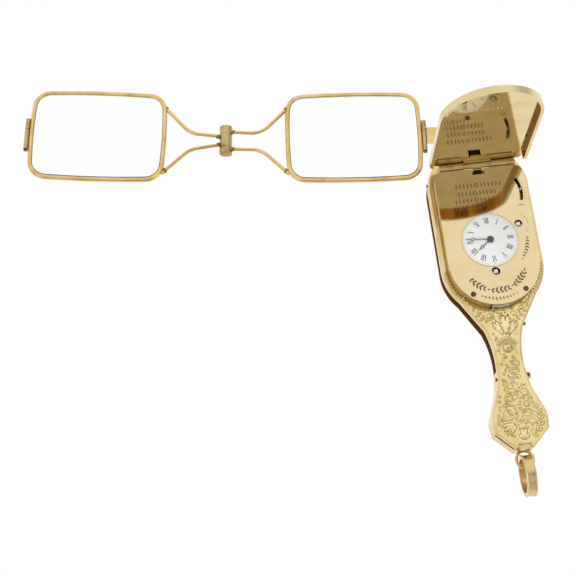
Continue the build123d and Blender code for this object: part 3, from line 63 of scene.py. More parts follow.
# sizes that several pieces share, in millimetres; a Point is X and Z
NECK_Y = -3.0  # depth of the neck's front face
BUTTON_Z = 3.2  # height of the button that opens the lid
DIAL_MIDDLE: Point = (0.0, 29.55)
WATCH_END: Point = (0.0, 24.1)  # middle of the round end of the watch's wall
WATCH_RADIUS = 10.95  # outer radius of that end
GROUND_RISE = 0.015  # how far the punched ground of the neck stands out
# height and half width of the case's outline, from the foot up
CASE_EDGE: tuple[Point, ...] = ((-21.0, 2.1), (-16.8, 6.35), (-14.0, 6.6), (-12.2, 6.3), (-7.8, 4.5), (-4.0, 3.55),
                                (0.0, 3.25), (4.0, 3.5), (8.2, 4.6), (15.8, 9.2), (19.0, 10.9))


# ---------------------------------------------------------------- finishes
class Nodes:
    """A node tree under construction."""

    MIX_SOCKETS = {"FLOAT": (2, 3, 0), "RGBA": (6, 7, 2)}

    def __init__(self, tree: bpy.types.NodeTree) -> None:
        """Starts work in a node tree."""
        self.nodes = tree.nodes
        self.links = tree.links

    def node(self, kind: str, **settings: object) -> bpy.types.Node:
        """Adds a node.

        Args:
            kind: the node's type, without the leading "ShaderNode".
            **settings: properties of the node, set before its sockets are used.

        Returns:
            The new node.
        """
        made = self.nodes.new("ShaderNode" + kind)
        for key, value in settings.items():
            setattr(made, key, value)
        return made

    def feed(self, socket: Socket, value: object) -> None:
        """Links a socket to an output, or sets it to a number or a colour."""
        if isinstance(value, Socket):
            self.links.new(value, socket)
        elif isinstance(value, tuple) and len(value) == 3 and socket.type == "RGBA":
            socket.default_value = (*value, 1.0)
        else:
            socket.default_value = value

    def maths(self, operation: str, a: object, b: object = 0.0) -> Socket:
        """Adds a Math node and returns its output."""
        made = self.node("Math", operation=operation)
        self.feed(made.inputs[0], a)
        self.feed(made.inputs[1], b)
        return made.outputs[0]

    def ramp(self, value: Socket, low: float, high: float, start: float = 0.0, end: float = 1.0) -> Socket:
        """A smooth step from start at low to end at high."""
        made = self.node("MapRange", interpolation_type="SMOOTHSTEP")
        names = ("Value", "From Min", "From Max", "To Min", "To Max")
        for name, level in zip(names, (value, low, high, start, end)):
            self.feed(made.inputs[name], level)
        return made.outputs[0]

    def mix(self, factor: object, a: object, b: object, kind: str = "RGBA") -> Socket:
        """Mixes two colours, or two numbers where kind is FLOAT, and returns the result."""
        first, second, result = self.MIX_SOCKETS[kind]
        made = self.node("Mix", data_type=kind)
        self.feed(made.inputs[0], factor)
        self.feed(made.inputs[first], a)
        self.feed(made.inputs[second], b)
        return made.outputs[result]


class Tree(Nodes):
    """A material under construction: its nodes and its main shader."""

    def __init__(self, name: str) -> None:
        """Starts an empty material.

        Args:
            name: the material's name.
        """
        self.material = bpy.data.materials.new(name)
        self.material.use_nodes = True
        super().__init__(self.material.node_tree)
        self.shader = self.nodes["Principled BSDF"]
        self.texture = self.node("TexCoord")
        self.place = self.texture.outputs["Object"]

    def surface(self, socket: str, value: object) -> None:
        """Feeds a socket of the main shader."""
        self.feed(self.shader.inputs[socket], value)

    def vary(self, socket: str, scale: float, middle: float, spread: float) -> None:
        """Lets a socket of the main shader vary round a middle, with features per metre."""
        self.surface(socket, self.mix(self.noise(scale), middle - spread, middle + spread, "FLOAT"))

    def cover(self, socket: str, mask: Socket, value: object) -> None:
        """Lays a colour or a number over what a socket of the main shader gets, where the mask is 1."""
        place = self.shader.inputs[socket]
        below = place.links[0].from_socket if place.is_linked else place.default_value
        self.surface(socket, self.mix(mask, below, value, "RGBA" if place.type == "RGBA" else "FLOAT"))

    def noise(self, scale: float, stretch: Triple = (1, 1, 1), detail: float = 3.0) -> Socket:
        """Noise on the object's own coordinates.

        Args:
            scale: features per metre.
            stretch: factor on the scale along each axis.
            detail: number of octaves.

        Returns:
            The noise's value, from 0 to 1.
        """
        mapping = self.node("Mapping")
        self.feed(mapping.inputs["Vector"], self.place)
        mapping.inputs["Scale"].default_value = stretch
        made = self.node("TexNoise")
        self.feed(made.inputs["Vector"], mapping.outputs[0])
        made.inputs["Scale"].default_value = scale
        made.inputs["Detail"].default_value = detail
        return made.outputs[0]

    def bump(self, height: Socket, depth: float) -> None:
        """Gives the main shader a bump of a depth in metres."""
        made = self.node("Bump")
        made.inputs["Distance"].default_value = depth
        self.feed(made.inputs["Height"], height)
        self.surface("Normal", made.outputs[0])

    def hollow(self, reach: float) -> Socket:
        """How much a spot lies in a corner or a hole, for the painted shade that darkens such places.

        Args:
            reach: size of the corners that count, in metres.

        Returns:
            1 in the depth of a corner, 0 in the open.
        """
        made = self.node("AmbientOcclusion", samples=6)
        made.inputs["Distance"].default_value = reach
        return self.maths("SUBTRACT", 1.0, self.ramp(made.outputs["AO"], low=0.15, high=0.85))

    def part(self, vector: Socket, letter: str) -> Socket:
        """The part of a vector along X, Y or Z."""
        made = self.node("SeparateXYZ")
        self.feed(made.inputs[0], vector)
        return made.outputs[letter]

    def axis(self, letter: str) -> Socket:
        """The object coordinate along X, Y or Z, in metres."""
        return self.part(self.place, letter)

    def facing(self, letter: str) -> Socket:
        """How far the surface faces along X, Y or Z of its own piece, from -1 to 1."""
        return self.part(self.texture.outputs["Normal"], letter)


@dataclass(frozen=True)
class Metal:
    """A polished, brushed or worn metal.

    Attributes:
        name: the material's name.
        colour: its reflection.
        shade: the colour of duller patches.
        roughness: mean roughness.
        spread: how far the roughness varies.
        scratch: depth of the polishing lines, in metres.
        grain: direction in which the lines are drawn out, as a scale on each axis.
        patina: strength of brown tarnish, from 0 to 1.
        shade_and_grime: strength of the painted shade, with some soiling, in corners and holes, from 0 to 1.
        reach: size of the corners that this painted shade fills, in metres.
        shade_and_grime_colour: the colour of that painted shade and soiling.
    """

    name: str
    colour: Colour
    shade: Colour
    roughness: float = 0.2
    spread: float = 0.08
    scratch: float = 2e-6
    grain: Triple = (1.0, 1.0, 1.0)
    patina: float = 0.0
    shade_and_grime: float = 0.5
    reach: float = 0.5 * MM
    shade_and_grime_colour: Colour = (0.17, 0.085, 0.025)

    def tree(self) -> Tree:
        """Builds the metal's nodes and returns them for further work."""
        tree = Tree(self.name)
        patches = tree.ramp(tree.noise(PATCHES), low=0.35, high=0.7)
        tree.surface("Base Color", tree.mix(patches, self.colour, self.shade))
        if self.patina:
            spots = tree.ramp(tree.noise(SPOTS, detail=5.0), low=0.52, high=0.74)
            tree.cover("Base Color", tree.maths("MULTIPLY", spots, self.patina), TARNISH)
        # painted shade, with some soiling: the occlusion mask darkens corners and holes
        if self.shade_and_grime:
            tree.cover("Base Color", tree.maths("MULTIPLY", tree.hollow(self.reach), self.shade_and_grime), self.shade_and_grime_colour)
        tree.surface("Metallic", 1.0)
        tree.vary("Roughness", CLOUDS, self.roughness, self.spread)
        if self.scratch:
            tree.bump(tree.noise(LINES, self.grain), self.scratch)
        return tree

    def material(self) -> Material:
        """Builds the material."""
        return self.tree().material


@dataclass(frozen=True)
class CaseGold(Metal):
    """Gold of the case, with painted shade, dark brown with some patina, on the flat faces inside the slot that takes
    the glasses.

    Attributes:
        slot_front: depth at which the slot begins, in metres along Y.
        slot_back: depth at which the slot ends.
        flatness: how squarely a face has to look along Y to belong to the slot.
        slot_metal: how metallic that painted shade is.
        slot_roughness: how rough it is.
    """

    slot_front: float = -1.45 * MM
    slot_back: float = 2.25 * MM
    flatness: float = 0.9
    slot_metal: float = 0.15
    slot_roughness: float = 0.5

    def tree(self) -> Tree:
        """Adds the painted shade of the slot, dark brown with some patina, to the gold."""
        tree = super().tree()
        # painted shade: the flat faces inside the slot turn dark brown, with some patina, and less metallic
        flat = tree.maths("GREATER_THAN", tree.maths("ABSOLUTE", tree.facing("Y")), self.flatness)
        after = tree.maths("GREATER_THAN", tree.axis("Y"), self.slot_front)
        before = tree.maths("LESS_THAN", tree.axis("Y"), self.slot_back)
        inside = tree.maths("MULTIPLY", tree.maths("MULTIPLY", after, before), flat)
        streaks = tree.noise(300, (1, 1, 0.2))
        tree.cover("Base Color", inside, tree.mix(streaks, SLOT_SHADE_BROWN, SLOT_BROWN_LIGHT))
        tree.cover("Metallic", inside, self.slot_metal)
        tree.cover("Roughness", inside, self.slot_roughness)
        return tree


@dataclass(frozen=True)
class LidGold(Metal):
    """Gold of the lid, browned on the inner side of its walls.

    Attributes:
        middle: Y of the middle of the open lid, in metres.
        brown: the colour of the inner walls.
        slope: how much of a wall's direction may lie along Z.
    """

    middle: float = -26.0 * MM
    brown: Colour = (0.60, 0.30, 0.055)
    slope: float = 0.6

    def tree(self) -> Tree:
        """Adds the brown of the inner walls to the gold."""
        tree = super().tree()
        wall = tree.maths("LESS_THAN", tree.maths("ABSOLUTE", tree.facing("Z")), self.slope)
        across = tree.maths("MULTIPLY", tree.facing("X"), tree.axis("X"))
        along = tree.maths("MULTIPLY", tree.facing("Y"), tree.maths("SUBTRACT", tree.axis("Y"), self.middle))
        inward = tree.maths("LESS_THAN", tree.maths("ADD", across, along), 0.0)
        streaks = tree.noise(220, (1, 1, 3))
        tree.cover("Base Color", tree.maths("MULTIPLY", wall, inward), tree.mix(streaks, self.brown, SLOT_BROWN_LIGHT))
        return tree


@dataclass(frozen=True)
class StippledGold(Metal):
    """Gold whose ground an engraver has roughened with small punch marks.

    Attributes:
        marks: punch marks per metre.
        depth: their depth, in metres.
    """

    marks: float = 1500.0
    depth: float = 1.2e-5

    def tree(self) -> Tree:
        """Adds the punch marks to the gold."""
        tree = super().tree()
        cells = tree.node("TexVoronoi")
        tree.feed(cells.inputs["Vector"], tree.place)
        cells.inputs["Scale"].default_value = self.marks
        tree.bump(cells.outputs["Distance"], self.depth)
        return tree


@dataclass(frozen=True)
class Enamel:
    """White fired enamel with a faint grey cloud."""

    name: str = "white_enamel"
    colour: Colour = (0.90, 0.91, 0.88)
    shade: Colour = (0.84, 0.85, 0.84)

    def material(self) -> Material:
        """Builds the material."""
        tree = Tree(self.name)
        tree.surface("Base Color", tree.mix(tree.ramp(tree.noise(260), low=0.3, high=0.8), self.colour, self.shade))
        tree.vary("Roughness", 700, 0.14, 0.06)
        tree.surface("Coat Weight", 0.3)
        return tree.material


@dataclass(frozen=True)
class Glass:
    """Clear spectacle glass, a trace greener in places."""

    name: str = "lens_glass"
    tint: Colour = (0.985, 0.992, 0.99)
    shade: Colour = (0.975, 0.988, 0.985)

    def material(self) -> Material:
        """Builds the material."""
        tree = Tree(self.name)
        tree.surface("Base Color", tree.mix(tree.noise(60), self.tint, self.shade))
        for socket, level in (("Roughness", 0.0), ("IOR", 1.5), ("Transmission Weight", 1.0)):
            tree.surface(socket, level)
        return tree.material


@dataclass(frozen=True)
class Ink:
    """Dark fired paint or the darkened floor of an engraved line."""

    name: str
    colour: Colour
    roughness: float = 0.45

    def material(self) -> Material:
        """Builds the material."""
        tree = Tree(self.name)
        lighter = tuple(min(1.0, value * 1.5 + 0.01) for value in self.colour)
        tree.surface("Base Color", tree.mix(tree.noise(1500), self.colour, lighter))
        tree.vary("Roughness", 800, self.roughness, 0.1)
        return tree.material


class Finish(Enum):
    """The finishes of the object's pieces."""

    # shade_and_grime paints shade, with some soiling, into each metal's corners and holes
    PLATE = Metal("plate_gold", (0.82, 0.67, 0.39), (0.79, 0.63, 0.35), 0.05, 0.02, 3e-7, (1, 1, 8), shade_and_grime=0.75)
    LID = LidGold("lid_gold", (0.78, 0.65, 0.36), (0.72, 0.57, 0.28), 0.06, 0.025, 8e-7, (0.06, 1, 1),
                  patina=0.12, shade_and_grime=0.6)
    WIRE = Metal("wire_gold", (0.80, 0.58, 0.25), (0.70, 0.46, 0.16), 0.18, 0.07, patina=0.3)
    TUBE = Metal("tube_gold", (0.62, 0.46, 0.21), (0.44, 0.30, 0.12), 0.26, 0.08, 3e-6, patina=0.6)
    BRAZING = Metal("brazed_joint", (0.42, 0.26, 0.10), (0.22, 0.12, 0.045), 0.4, 0.1, 6e-6, patina=0.5)
    CASE = CaseGold("case_gold", (0.80, 0.62, 0.32), (0.72, 0.53, 0.24), 0.18, 0.06, patina=0.2)
    BORDER = Metal("border_gold", (0.84, 0.68, 0.38), (0.77, 0.60, 0.30), 0.18, 0.06, patina=0.1)
    GROUND = StippledGold("stippled_gold", (0.88, 0.74, 0.36), (0.81, 0.65, 0.27), 0.2, 0.06, 0.0,
                          patina=0.1, shade_and_grime=0.7, reach=0.4 * MM, shade_and_grime_colour=(0.34, 0.23, 0.06))
    RELIEF = Metal("relief_gold", (0.93, 0.79, 0.42), (0.86, 0.70, 0.32), 0.2, 0.06,
                   patina=0.1, shade_and_grime=0.8, reach=0.3 * MM, shade_and_grime_colour=(0.30, 0.19, 0.055))
    RIM = Metal("rim_gold", (0.76, 0.59, 0.28), (0.65, 0.47, 0.19), 0.18, 0.06, 3e-6, (1, 12, 1),
                patina=0.35, shade_and_grime=0.7)
    RING = Metal("ring_gold", (0.86, 0.67, 0.36), (0.72, 0.51, 0.23), 0.22, 0.08, 3e-6, (8, 1, 1),
                 patina=0.5, shade_and_grime=0.6)
    # the movement's deep wells round the arbors get near-black painted shade
    GILT = Metal("gilt_brass", (0.72, 0.55, 0.26), (0.62, 0.45, 0.20), 0.3, 0.08, 4e-6,
                 patina=0.2, shade_and_grime=1.0, reach=1.6 * MM, shade_and_grime_colour=(0.012, 0.008, 0.005))
    HINGE_BRASS = Metal("hinge_brass", (0.42, 0.44, 0.30), (0.25, 0.24, 0.15), 0.3, 0.08, 3e-6)
    STEEL = Metal("polished_steel", (0.80, 0.80, 0.82), (0.66, 0.66, 0.69), 0.16, 0.05, 1e-6, (6, 1, 1),
                  shade_and_grime_colour=(0.05, 0.05, 0.06))
    DARK_STEEL = Metal("dark_steel", (0.16, 0.09, 0.08), (0.09, 0.05, 0.05), 0.3)
    GREY_STEEL = Metal("grey_steel", (0.16, 0.16, 0.17), (0.08, 0.08, 0.09), 0.3)
    # near black: dark steel with painted shade on the lid's spring in its slot, and only painted shade on the latch
    # gap and the foot slit
    BLACK_STEEL = Metal("black_steel_and_painted_shade", (0.03, 0.028, 0.026), (0.015, 0.014, 0.013), 0.45)
    BLUED = Metal("blued_steel", (0.20, 0.17, 0.18), (0.26, 0.21, 0.21), 0.25, 0.08, 1e-6, shade_and_grime=0.0)
    ENAMEL = Enamel()
    GLASS = Glass()
    NUMERAL = Ink("numeral_black", (0.055, 0.055, 0.06))
    ENGRAVED = Ink("engraved_brown", (0.11, 0.06, 0.022), 0.5)
    CUT = Metal("engraved_cuts", (0.60, 0.46, 0.19), (0.50, 0.37, 0.13), 0.3, 0.1)

    @property
    def look(self) -> Material:
        """The finish's material, built once."""
        found = bpy.data.materials.get(self.value.name)
        return found or self.value.material()


NODE_FINISHES: dict[Finish, tuple[str, ...]] = {
    Finish.PLATE: ("watch_plate", "dial_bezel"),
    Finish.LID: ("lid_shell",),
    Finish.RIM: ("watch_rim", "lid_knuckle", "case_knuckles"),
    Finish.WIRE: (
        "left_rim", "right_rim", "left_bridge_wires", "right_bridge_wires", "swing_arm", "handle_block",
    ),
    Finish.TUBE: (
        "left_closing_tube", "right_closing_tube", "left_bridge_knuckle", "right_bridge_knuckles", "bridge_pin",
    ),
    Finish.CASE: (
        "front_body", "back_plate", "slot_spine", "slot_liner", "bow_post", "side_collar",
        "side_button", "lid_button",
    ),
    Finish.RING: ("bow", "chain_ring"),
    Finish.GILT: (
        "movement_plate", "movement_pillars", "train_bridge", "balance_cock", "barrel",
        "minute_wheel", "hour_wheel", "balance_wheel",
    ),
    Finish.HINGE_BRASS: ("lid_hinge_pin",),
    Finish.STEEL: ("lid_latch", "winding_arbor", "setting_arbor", "regulator", "pivot_screw", "pivot_bush"),
    Finish.GREY_STEEL: (
        "centre_wheel", "glasses_catch", "escape_bridge", "third_wheel", "fourth_wheel", "escape_wheel",
        "cannon_pinion", "case_pins",
    ),
    Finish.DARK_STEEL: ("plate_screws", "left_closing_screw", "right_closing_screw"),
    # the lid's spring: dark steel with painted shade from its slot
    Finish.BLACK_STEEL: ("lid_spring",),
    Finish.BLUED: ("minute_hand", "hour_hand", "hairspring"),
    Finish.ENAMEL: ("dial",),
    Finish.GLASS: ("left_lens", "right_lens"),
}


def dress_nodes() -> None:
    """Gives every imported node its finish."""
    for finish, names in NODE_FINISHES.items():
        for name in names:
            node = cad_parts[name]
            if not node.material_slots:
                node.data.materials.append(finish.look)
            for place in node.material_slots:
                place.material = finish.look
            LOG.info("node %s: %s", name, finish.value.name)


# ---------------------------------------------------------------- pieces
def placed(name: str, data: bpy.types.ID) -> bpy.types.Object:
    """Puts a mesh, a camera or a lamp into the scene."""
    made = bpy.data.objects.new(name, data)
    bpy.context.scene.collection.objects.link(made)
    return made


def finish_piece(name: str, mesh: Mesh, finish: Finish, body: str,
                 replaces: Sequence[str] = (), smooth: bool = True) -> bpy.types.Object:
    """Turns a bmesh into a piece that rides on a body.

    Args:
        name: the piece's name.
        mesh: its bmesh, in metres, which is freed.
        finish: its finish.
        body: the body it rides on.
        replaces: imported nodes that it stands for.
        smooth: whether its faces are shaded smooth.

    Returns:
        The new object.
    """
    data = bpy.data.meshes.new(name)
    mesh.to_mesh(data)
    mesh.free()
    for face in data.polygons:
        face.use_smooth = smooth
    piece = placed(name, data)
    data.materials.append(finish.look)
    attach(piece, body)
    if replaces:
        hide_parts(*replaces)
    LOG.info("piece %s: %d faces on %s", name, len(data.polygons), body)
    return piece


def bar(mesh: Mesh, centre: Vector, size: Triple, turn: float = 0.0) -> None:
    """Adds a bar to a bmesh.

    Args:
        mesh: the bmesh.
        centre: the bar's middle, in metres.
        size: its size along X, Y and Z, in metres.
        turn: its turn in degrees, clockwise as seen from the front.
    """
    place = Matrix.Translation(centre) @ Matrix.Rotation(math.radians(turn), 4, "Y") @ Matrix.Diagonal((*size, 1.0))
    bmesh.ops.create_cube(mesh, size=1.0, matrix=place)


def polar(centre: Point, reach: float, turn: float) -> Point:
    """The point at a distance from a centre, in a direction in degrees anticlockwise from +X."""
    way = math.radians(turn)
    return centre[0] + reach * math.cos(way), centre[1] + reach * math.sin(way)


def circle_through(points: Sequence[Point]) -> tuple[Point, float]:
    """The middle and the radius of the circle through three points."""
    first, second, third = (Vector(point) for point in points)
    (a, b), (c, d) = second - first, third - second
    levels = ((second - first).dot(first + second) / 2, (third - second).dot(second + third) / 2)
    middle = Vector((levels[0] * d - levels[1] * b, a * levels[1] - c * levels[0])) / (a * d - b * c)
    return (middle.x, middle.y), (middle - second).length


@dataclass
class Dial:
    """The printed numerals and the minute track of the dial.

    Attributes:
        front: Y of its face, in millimetres.
        turn: how far it stands turned anticlockwise, in degrees.
        numeral_radius: distance of the numerals from the dial's middle.
        numeral_height: their height.
        thick: width of a thick stroke.
        thin: width of a thin stroke.
        pitch: the width of the narrowest letter's place.
        print_depth: thickness of the print.
        track_radius: radius of the minute track.
        dot: radius of a minute's dot.
        fifth: how much larger each fifth dot is.
    """

    front: float = -5.72
    turn: float = 2.0
    numeral_radius: float = 4.95
    numeral_height: float = 1.4
    thick: float = 0.16
    thin: float = 0.05
    pitch: float = 0.30
    print_depth: float = 0.012
    track_radius: float = 6.2
    dot: float = 0.06
    fifth: float = 1.5

    NUMERALS = ("XII", "I", "II", "III", "IIII", "V", "VI", "VII", "VIII", "IX", "X", "XI")

    def spot(self, radius: float, angle: float, across: float = 0.0) -> Vector:
        """A place on the dial, in metres.

        Args:
            radius: distance from the middle, in millimetres.
            angle: degrees clockwise from twelve.
            across: sideways offset to the right of the radius.

        Returns:
            The place, halfway into the print.
        """
        way = math.radians(angle - self.turn)
        x = DIAL_MIDDLE[0] + radius * math.sin(way) + across * math.cos(way)
        z = DIAL_MIDDLE[1] + radius * math.cos(way) - across * math.sin(way)
        return Vector((x, self.front - self.print_depth / 2, z)) * MM

    def letter(self, name: str) -> tuple[float, tuple[Triple, ...]]:
        """The width of a letter, in pitches, and the place, the width and the lean of each of its strokes."""
        return {
            "I": (1.0, ((0.0, self.thick, 0.0),)),
            "V": (1.9, ((-0.13, self.thick, -12.0), (0.13, self.thin, 12.0))),
            "X": (1.9, ((0.0, self.thick, -24.0), (0.0, self.thin, 24.0))),
        }[name]

    def numeral(self, mesh: Mesh, letters: str, angle: float) -> None:
        """Adds one numeral with its serifs, its foot towards the middle."""
        shapes = [self.letter(name) for name in letters]
        total = sum(width for width, _ in shapes)
        at = -total / 2
        for width, strokes in shapes:
            middle = (at + width / 2) * self.pitch
            for across, thickness, lean in strokes:
                length = self.numeral_height / math.cos(math.radians(lean))
                bar(mesh, self.spot(self.numeral_radius, angle, middle + across),
                    (thickness * MM, self.print_depth * MM, length * MM), angle - self.turn + lean)
            at += width
        for end in (-0.5, 0.5):
            bar(mesh, self.spot(self.numeral_radius + end * self.numeral_height, angle),
                (total * self.pitch * MM, self.print_depth * MM, self.thin * MM), angle - self.turn)

    def build(self) -> None:
        """Makes the numerals and the track."""
        mesh = bmesh.new()
        for index, letters in enumerate(self.NUMERALS):
            self.numeral(mesh, letters, index * 360 / 12)
        for minute in range(60):
            size = self.dot * (self.fifth if minute % 5 == 0 else 1.0) * MM
            place = Matrix.Translation(self.spot(self.track_radius, minute * 360 / 60))
            bmesh.ops.create_cone(mesh, cap_ends=True, segments=8, radius1=size, radius2=size,
                                  depth=self.print_depth * MM, matrix=place @ Matrix.Rotation(math.pi / 2, 4, "X"))
        finish_piece("dial_print", mesh, Finish.NUMERAL, "case", smooth=False)


# ---------------------------------------------------------------- ornament
@dataclass
class Engraving:
    """Common foliate ornament in low relief on a flat face.

    All its sizes are in millimetres, in the plane of the face.

    Attributes:
        name: the piece's name.
        level: depth of the face along Y.
        relief: how far the ornament stands out of it.
        finish: its finish.
        body: the body it rides on.
        slot: the record's material slot; not used.
        place: a turn of the whole ornament, in millimetres.
        outline: a second ornament that takes the strokes, and a rim round each leaf.
        rim: width of that rim.
        room: radius that stays free round each point of a stroke.
    """

    name: str
    level: float
    relief: float
    finish: Finish
    body: str = "case"
    slot: str = "gold"
    place: Matrix = field(default_factory=lambda: Matrix.Identity(4))
    outline: "Engraving | None" = None
    rim: float = 0.13
    room: float = 0.15

    def __post_init__(self) -> None:
        """Starts an empty ornament."""
        self.mesh = bmesh.new()
        self.batches: list[bpy.types.Mesh] = []
        self.spots: list[Triple] = []
        self.strokes = bpy.data.curves.new(self.name + "_strokes", "CURVE")
        self.strokes.dimensions = "3D"
        self.strokes.bevel_depth = 1.0
        self.strokes.bevel_resolution = 1
        self.strokes.resolution_u = 3
        self.strokes.use_fill_caps = True

    def leaf(self, at: Point, length: float, width: float, turn: float) -> None:
        """A pointed leaf.

        Args:
            at: X and Z of its stalk end.
            length: its length.
            width: its width.
            turn: its direction in degrees, anticlockwise from +X.
        """
        x, z = polar(at, length / 2, turn)
        size = Matrix.Diagonal((length / 2, self.relief, width / 2, 1.0))
        along = Matrix.Rotation(-math.radians(turn), 4, "Y") @ size @ Matrix.Rotation(math.pi / 2, 4, "Y")
        place = Matrix.Translation((x, self.level, z)) @ along
        bmesh.ops.create_uvsphere(self.mesh, u_segments=8, v_segments=4, radius=1.0, matrix=place)
        self.spots.append((x, z, length / 3))
        if self.outline:
            self.outline.leaf(polar(at, -self.rim, turn), length + 2 * self.rim, width + 2 * self.rim, turn)
        self.store()

    def store(self, full: int = 1200) -> None:
        """Puts the leaves made so far aside, because a small bmesh is quicker to work in."""
        if len(self.mesh.verts) > full:
            batch = bpy.data.meshes.new(self.name)
            self.mesh.to_mesh(batch)
            self.batches.append(batch)
            self.mesh.clear()

    def blade(self, at: Point, length: float, width: float, turn: float) -> None:
        """A large leaf of two lobes with a groove between them, and small leaves at its foot."""
        lobe, apart = width * 0.62, width * 0.36
        splay = math.degrees(math.atan2(apart, length))
        small_length, small_width, small_lean, feet = length * 0.42, width * 0.26, 38, (0.25, 0.45)
        for side in (-1, 1):
            self.leaf(at, length, lobe, turn + side * splay)
        for share in feet:
            for side in (-1, 1):
                self.leaf(polar(at, length * share, turn), small_length, small_width, turn + side * small_lean)

    def bead(self, at: Point, radius: float) -> None:
        """A round bead."""
        size = Matrix.Diagonal((radius, self.relief, radius, 1.0))
        place = Matrix.Translation((at[0], self.level, at[1])) @ size
        bmesh.ops.create_icosphere(self.mesh, subdivisions=1, radius=1.0, matrix=place)
        if self.outline:
            self.outline.bead(at, radius + self.rim)
        self.store()

    def stroke(self, points: Sequence[Point], start: float, end: float) -> None:
        """A smooth stroke that swells or tapers.

        Args:
            points: X and Z of the points that it follows.
            start: its half width at the first point.
            end: its half width at the last point.
        """
        if self.outline:
            self.outline.stroke(points, start, end)
            self.spots.extend((x, z, self.room) for x, z in points)
            return
        line = self.strokes.splines.new("NURBS")
        line.points.add(len(points) - 1)
        for index, (point, (x, z)) in enumerate(zip(line.points, points)):
            point.co = (x, 0.0, z, 1.0)
            point.radius = start + (end - start) * index / max(1, len(points) - 1)
        line.order_u = 3
        line.use_endpoint_u = True

    def scroll(self, centre: Point, radius: float, start: float, sweep: float, width: float = 0.12) -> None:
        """A curl that winds in to a bead.

        Args:
            centre: X and Z of its middle.
            radius: its radius where it begins.
            start: the angle at which it begins, in degrees.
            sweep: how far it winds, in degrees; negative is clockwise.
            width: half width of its stroke.
        """
        step_turn, wound_in, tip, knob = 35, 0.72, width * 0.6, width * 1.7
        steps = max(5, int(abs(sweep) / step_turn))
        shares = [step / steps for step in range(steps + 1)]
        points = [polar(centre, radius * (1.0 - wound_in * share), start + sweep * share) for share in shares]
        self.stroke(points, width, tip)
        self.bead(points[-1], knob)

    def flower(self, at: Point, radius: float, petals: int = 6) -> None:
        """A small open flower."""
        width, first, eye = radius * 0.72, 15.0, radius * 0.28
        for index in range(petals):
            self.leaf(at, radius, width, 360.0 * index / petals + first)
        self.bead(at, eye)

    def frond(self, points: Sequence[Point], leaf: float, lean: float = 48.0, stalk: float = 0.07) -> None:
        """A stalk with leaves along it.

        Args:
            points: X and Z of the stalk's points.
            leaf: length of its longest leaf.
            lean: angle between the leaves and the stalk, in degrees.
            stalk: half width of the stalk.
        """
        taper, shortest, slender, last_length, last_width = 0.5, 0.6, 0.42, leaf * 0.7, leaf * 0.3
        self.stroke(points, stalk, stalk * taper)
        runs = list(zip(points, points[1:]))
        turn = 0.0
        for index, ((x0, z0), (x1, z1)) in enumerate(runs):
            turn = math.degrees(math.atan2(z1 - z0, x1 - x0))
            size = leaf * (shortest + (1 - shortest) * math.sin(math.pi * (index + 1) / (len(runs) + 1)))
            for side in (-1, 1):
                self.leaf((x0, z0), size, size * slender, turn + side * lean)
        self.leaf(points[-1], last_length, last_width, turn)

    def garland(self, centre: Point, radius: float, start: float, end: float, step: float, leaf: float) -> None:
        """A stalk along an arc, with leaves on both sides.

        Args:
            centre: X and Z of the arc's middle.
            radius: the arc's radius.
            start: angle of its beginning, in degrees.
            end: angle of its end.
            step: degrees between its leaves.
            leaf: length of a leaf.
        """
        swing, beat, stalk = 0.12 * leaf, 1.9, 0.045
        count = max(2, int(abs(end - start) / step))
        sway = [swing * math.sin(index * beat) for index in range(count + 1)]
        points = [polar(centre, radius + out, start + (end - start) * index / count) for index, out in enumerate(sway)]
        self.frond(points, leaf, stalk=stalk)

    def row(self, centre: Point, length: float, leaf: float) -> None:
        """A straight sprig with leaves on both sides, centred on a point."""
        spacing, leaf_length, leaf_width, lean, stalk = leaf * 0.95, leaf * 0.8, leaf * 0.27, 28, 0.035
        count = max(3, round(length / spacing))
        first = centre[0] - length / 2
        self.stroke([(first, centre[1]), centre, (first + length, centre[1])], stalk, stalk)
        for index in range(count + 1):
            at = (first + length * index / count, centre[1])
            outward = lean if index < count / 2 else -lean
            for way in (1, -1):
                self.leaf(at, leaf_length, leaf_width, way * (90 - outward))

    def draw(self, **kinds: Rows) -> None:
        """Draws rows of sizes, each with the method that its keyword names."""
        for kind, rows in kinds.items():
            for row in rows:
                getattr(self, kind)(*row)

    def build(self) -> bpy.types.Object:
        """Joins the strokes and the leaves into one piece."""
        self.store(0)
        if self.strokes.splines:
            holder = bpy.data.objects.new(self.name + "_strokes", self.strokes)
            drawn = bpy.data.meshes.new_from_object(holder)
            bpy.data.objects.remove(holder)
            self.mesh.from_mesh(drawn)
            thickest = max(abs(vert.co.y) for vert in self.mesh.verts)
            lower = Matrix.Diagonal((1.0, self.relief / thickest, 1.0, 1.0))
            bmesh.ops.transform(self.mesh, matrix=Matrix.Translation((0, self.level, 0)) @ lower,
                                verts=self.mesh.verts)
        for batch in self.batches:
            self.mesh.from_mesh(batch)
        bmesh.ops.transform(self.mesh, matrix=Matrix.Diagonal((MM, MM, MM, 1.0)) @ self.place, verts=self.mesh.verts)
        bmesh.ops.recalc_face_normals(self.mesh, faces=self.mesh.faces)
        return finish_piece(self.name, self.mesh, self.finish, self.body)


def copied(name: str) -> Mesh:
    """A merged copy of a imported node's mesh.

    Args:
        name: the node's name.

    Returns:
        The copy, in metres.
    """
    mesh = bmesh.new()
    mesh.from_mesh(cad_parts[name].data)
    bmesh.ops.remove_doubles(mesh, verts=mesh.verts, dist=MERGE)
    return mesh


def trimmed(mesh: Mesh, place: Vector, normal: Vector) -> None:
    """Cuts off what lies beyond a plane, on the side that its normal points to."""
    everything = mesh.verts[:] + mesh.edges[:] + mesh.faces[:]
    bmesh.ops.bisect_plane(mesh, geom=everything, plane_co=place, plane_no=normal, clear_outer=True)


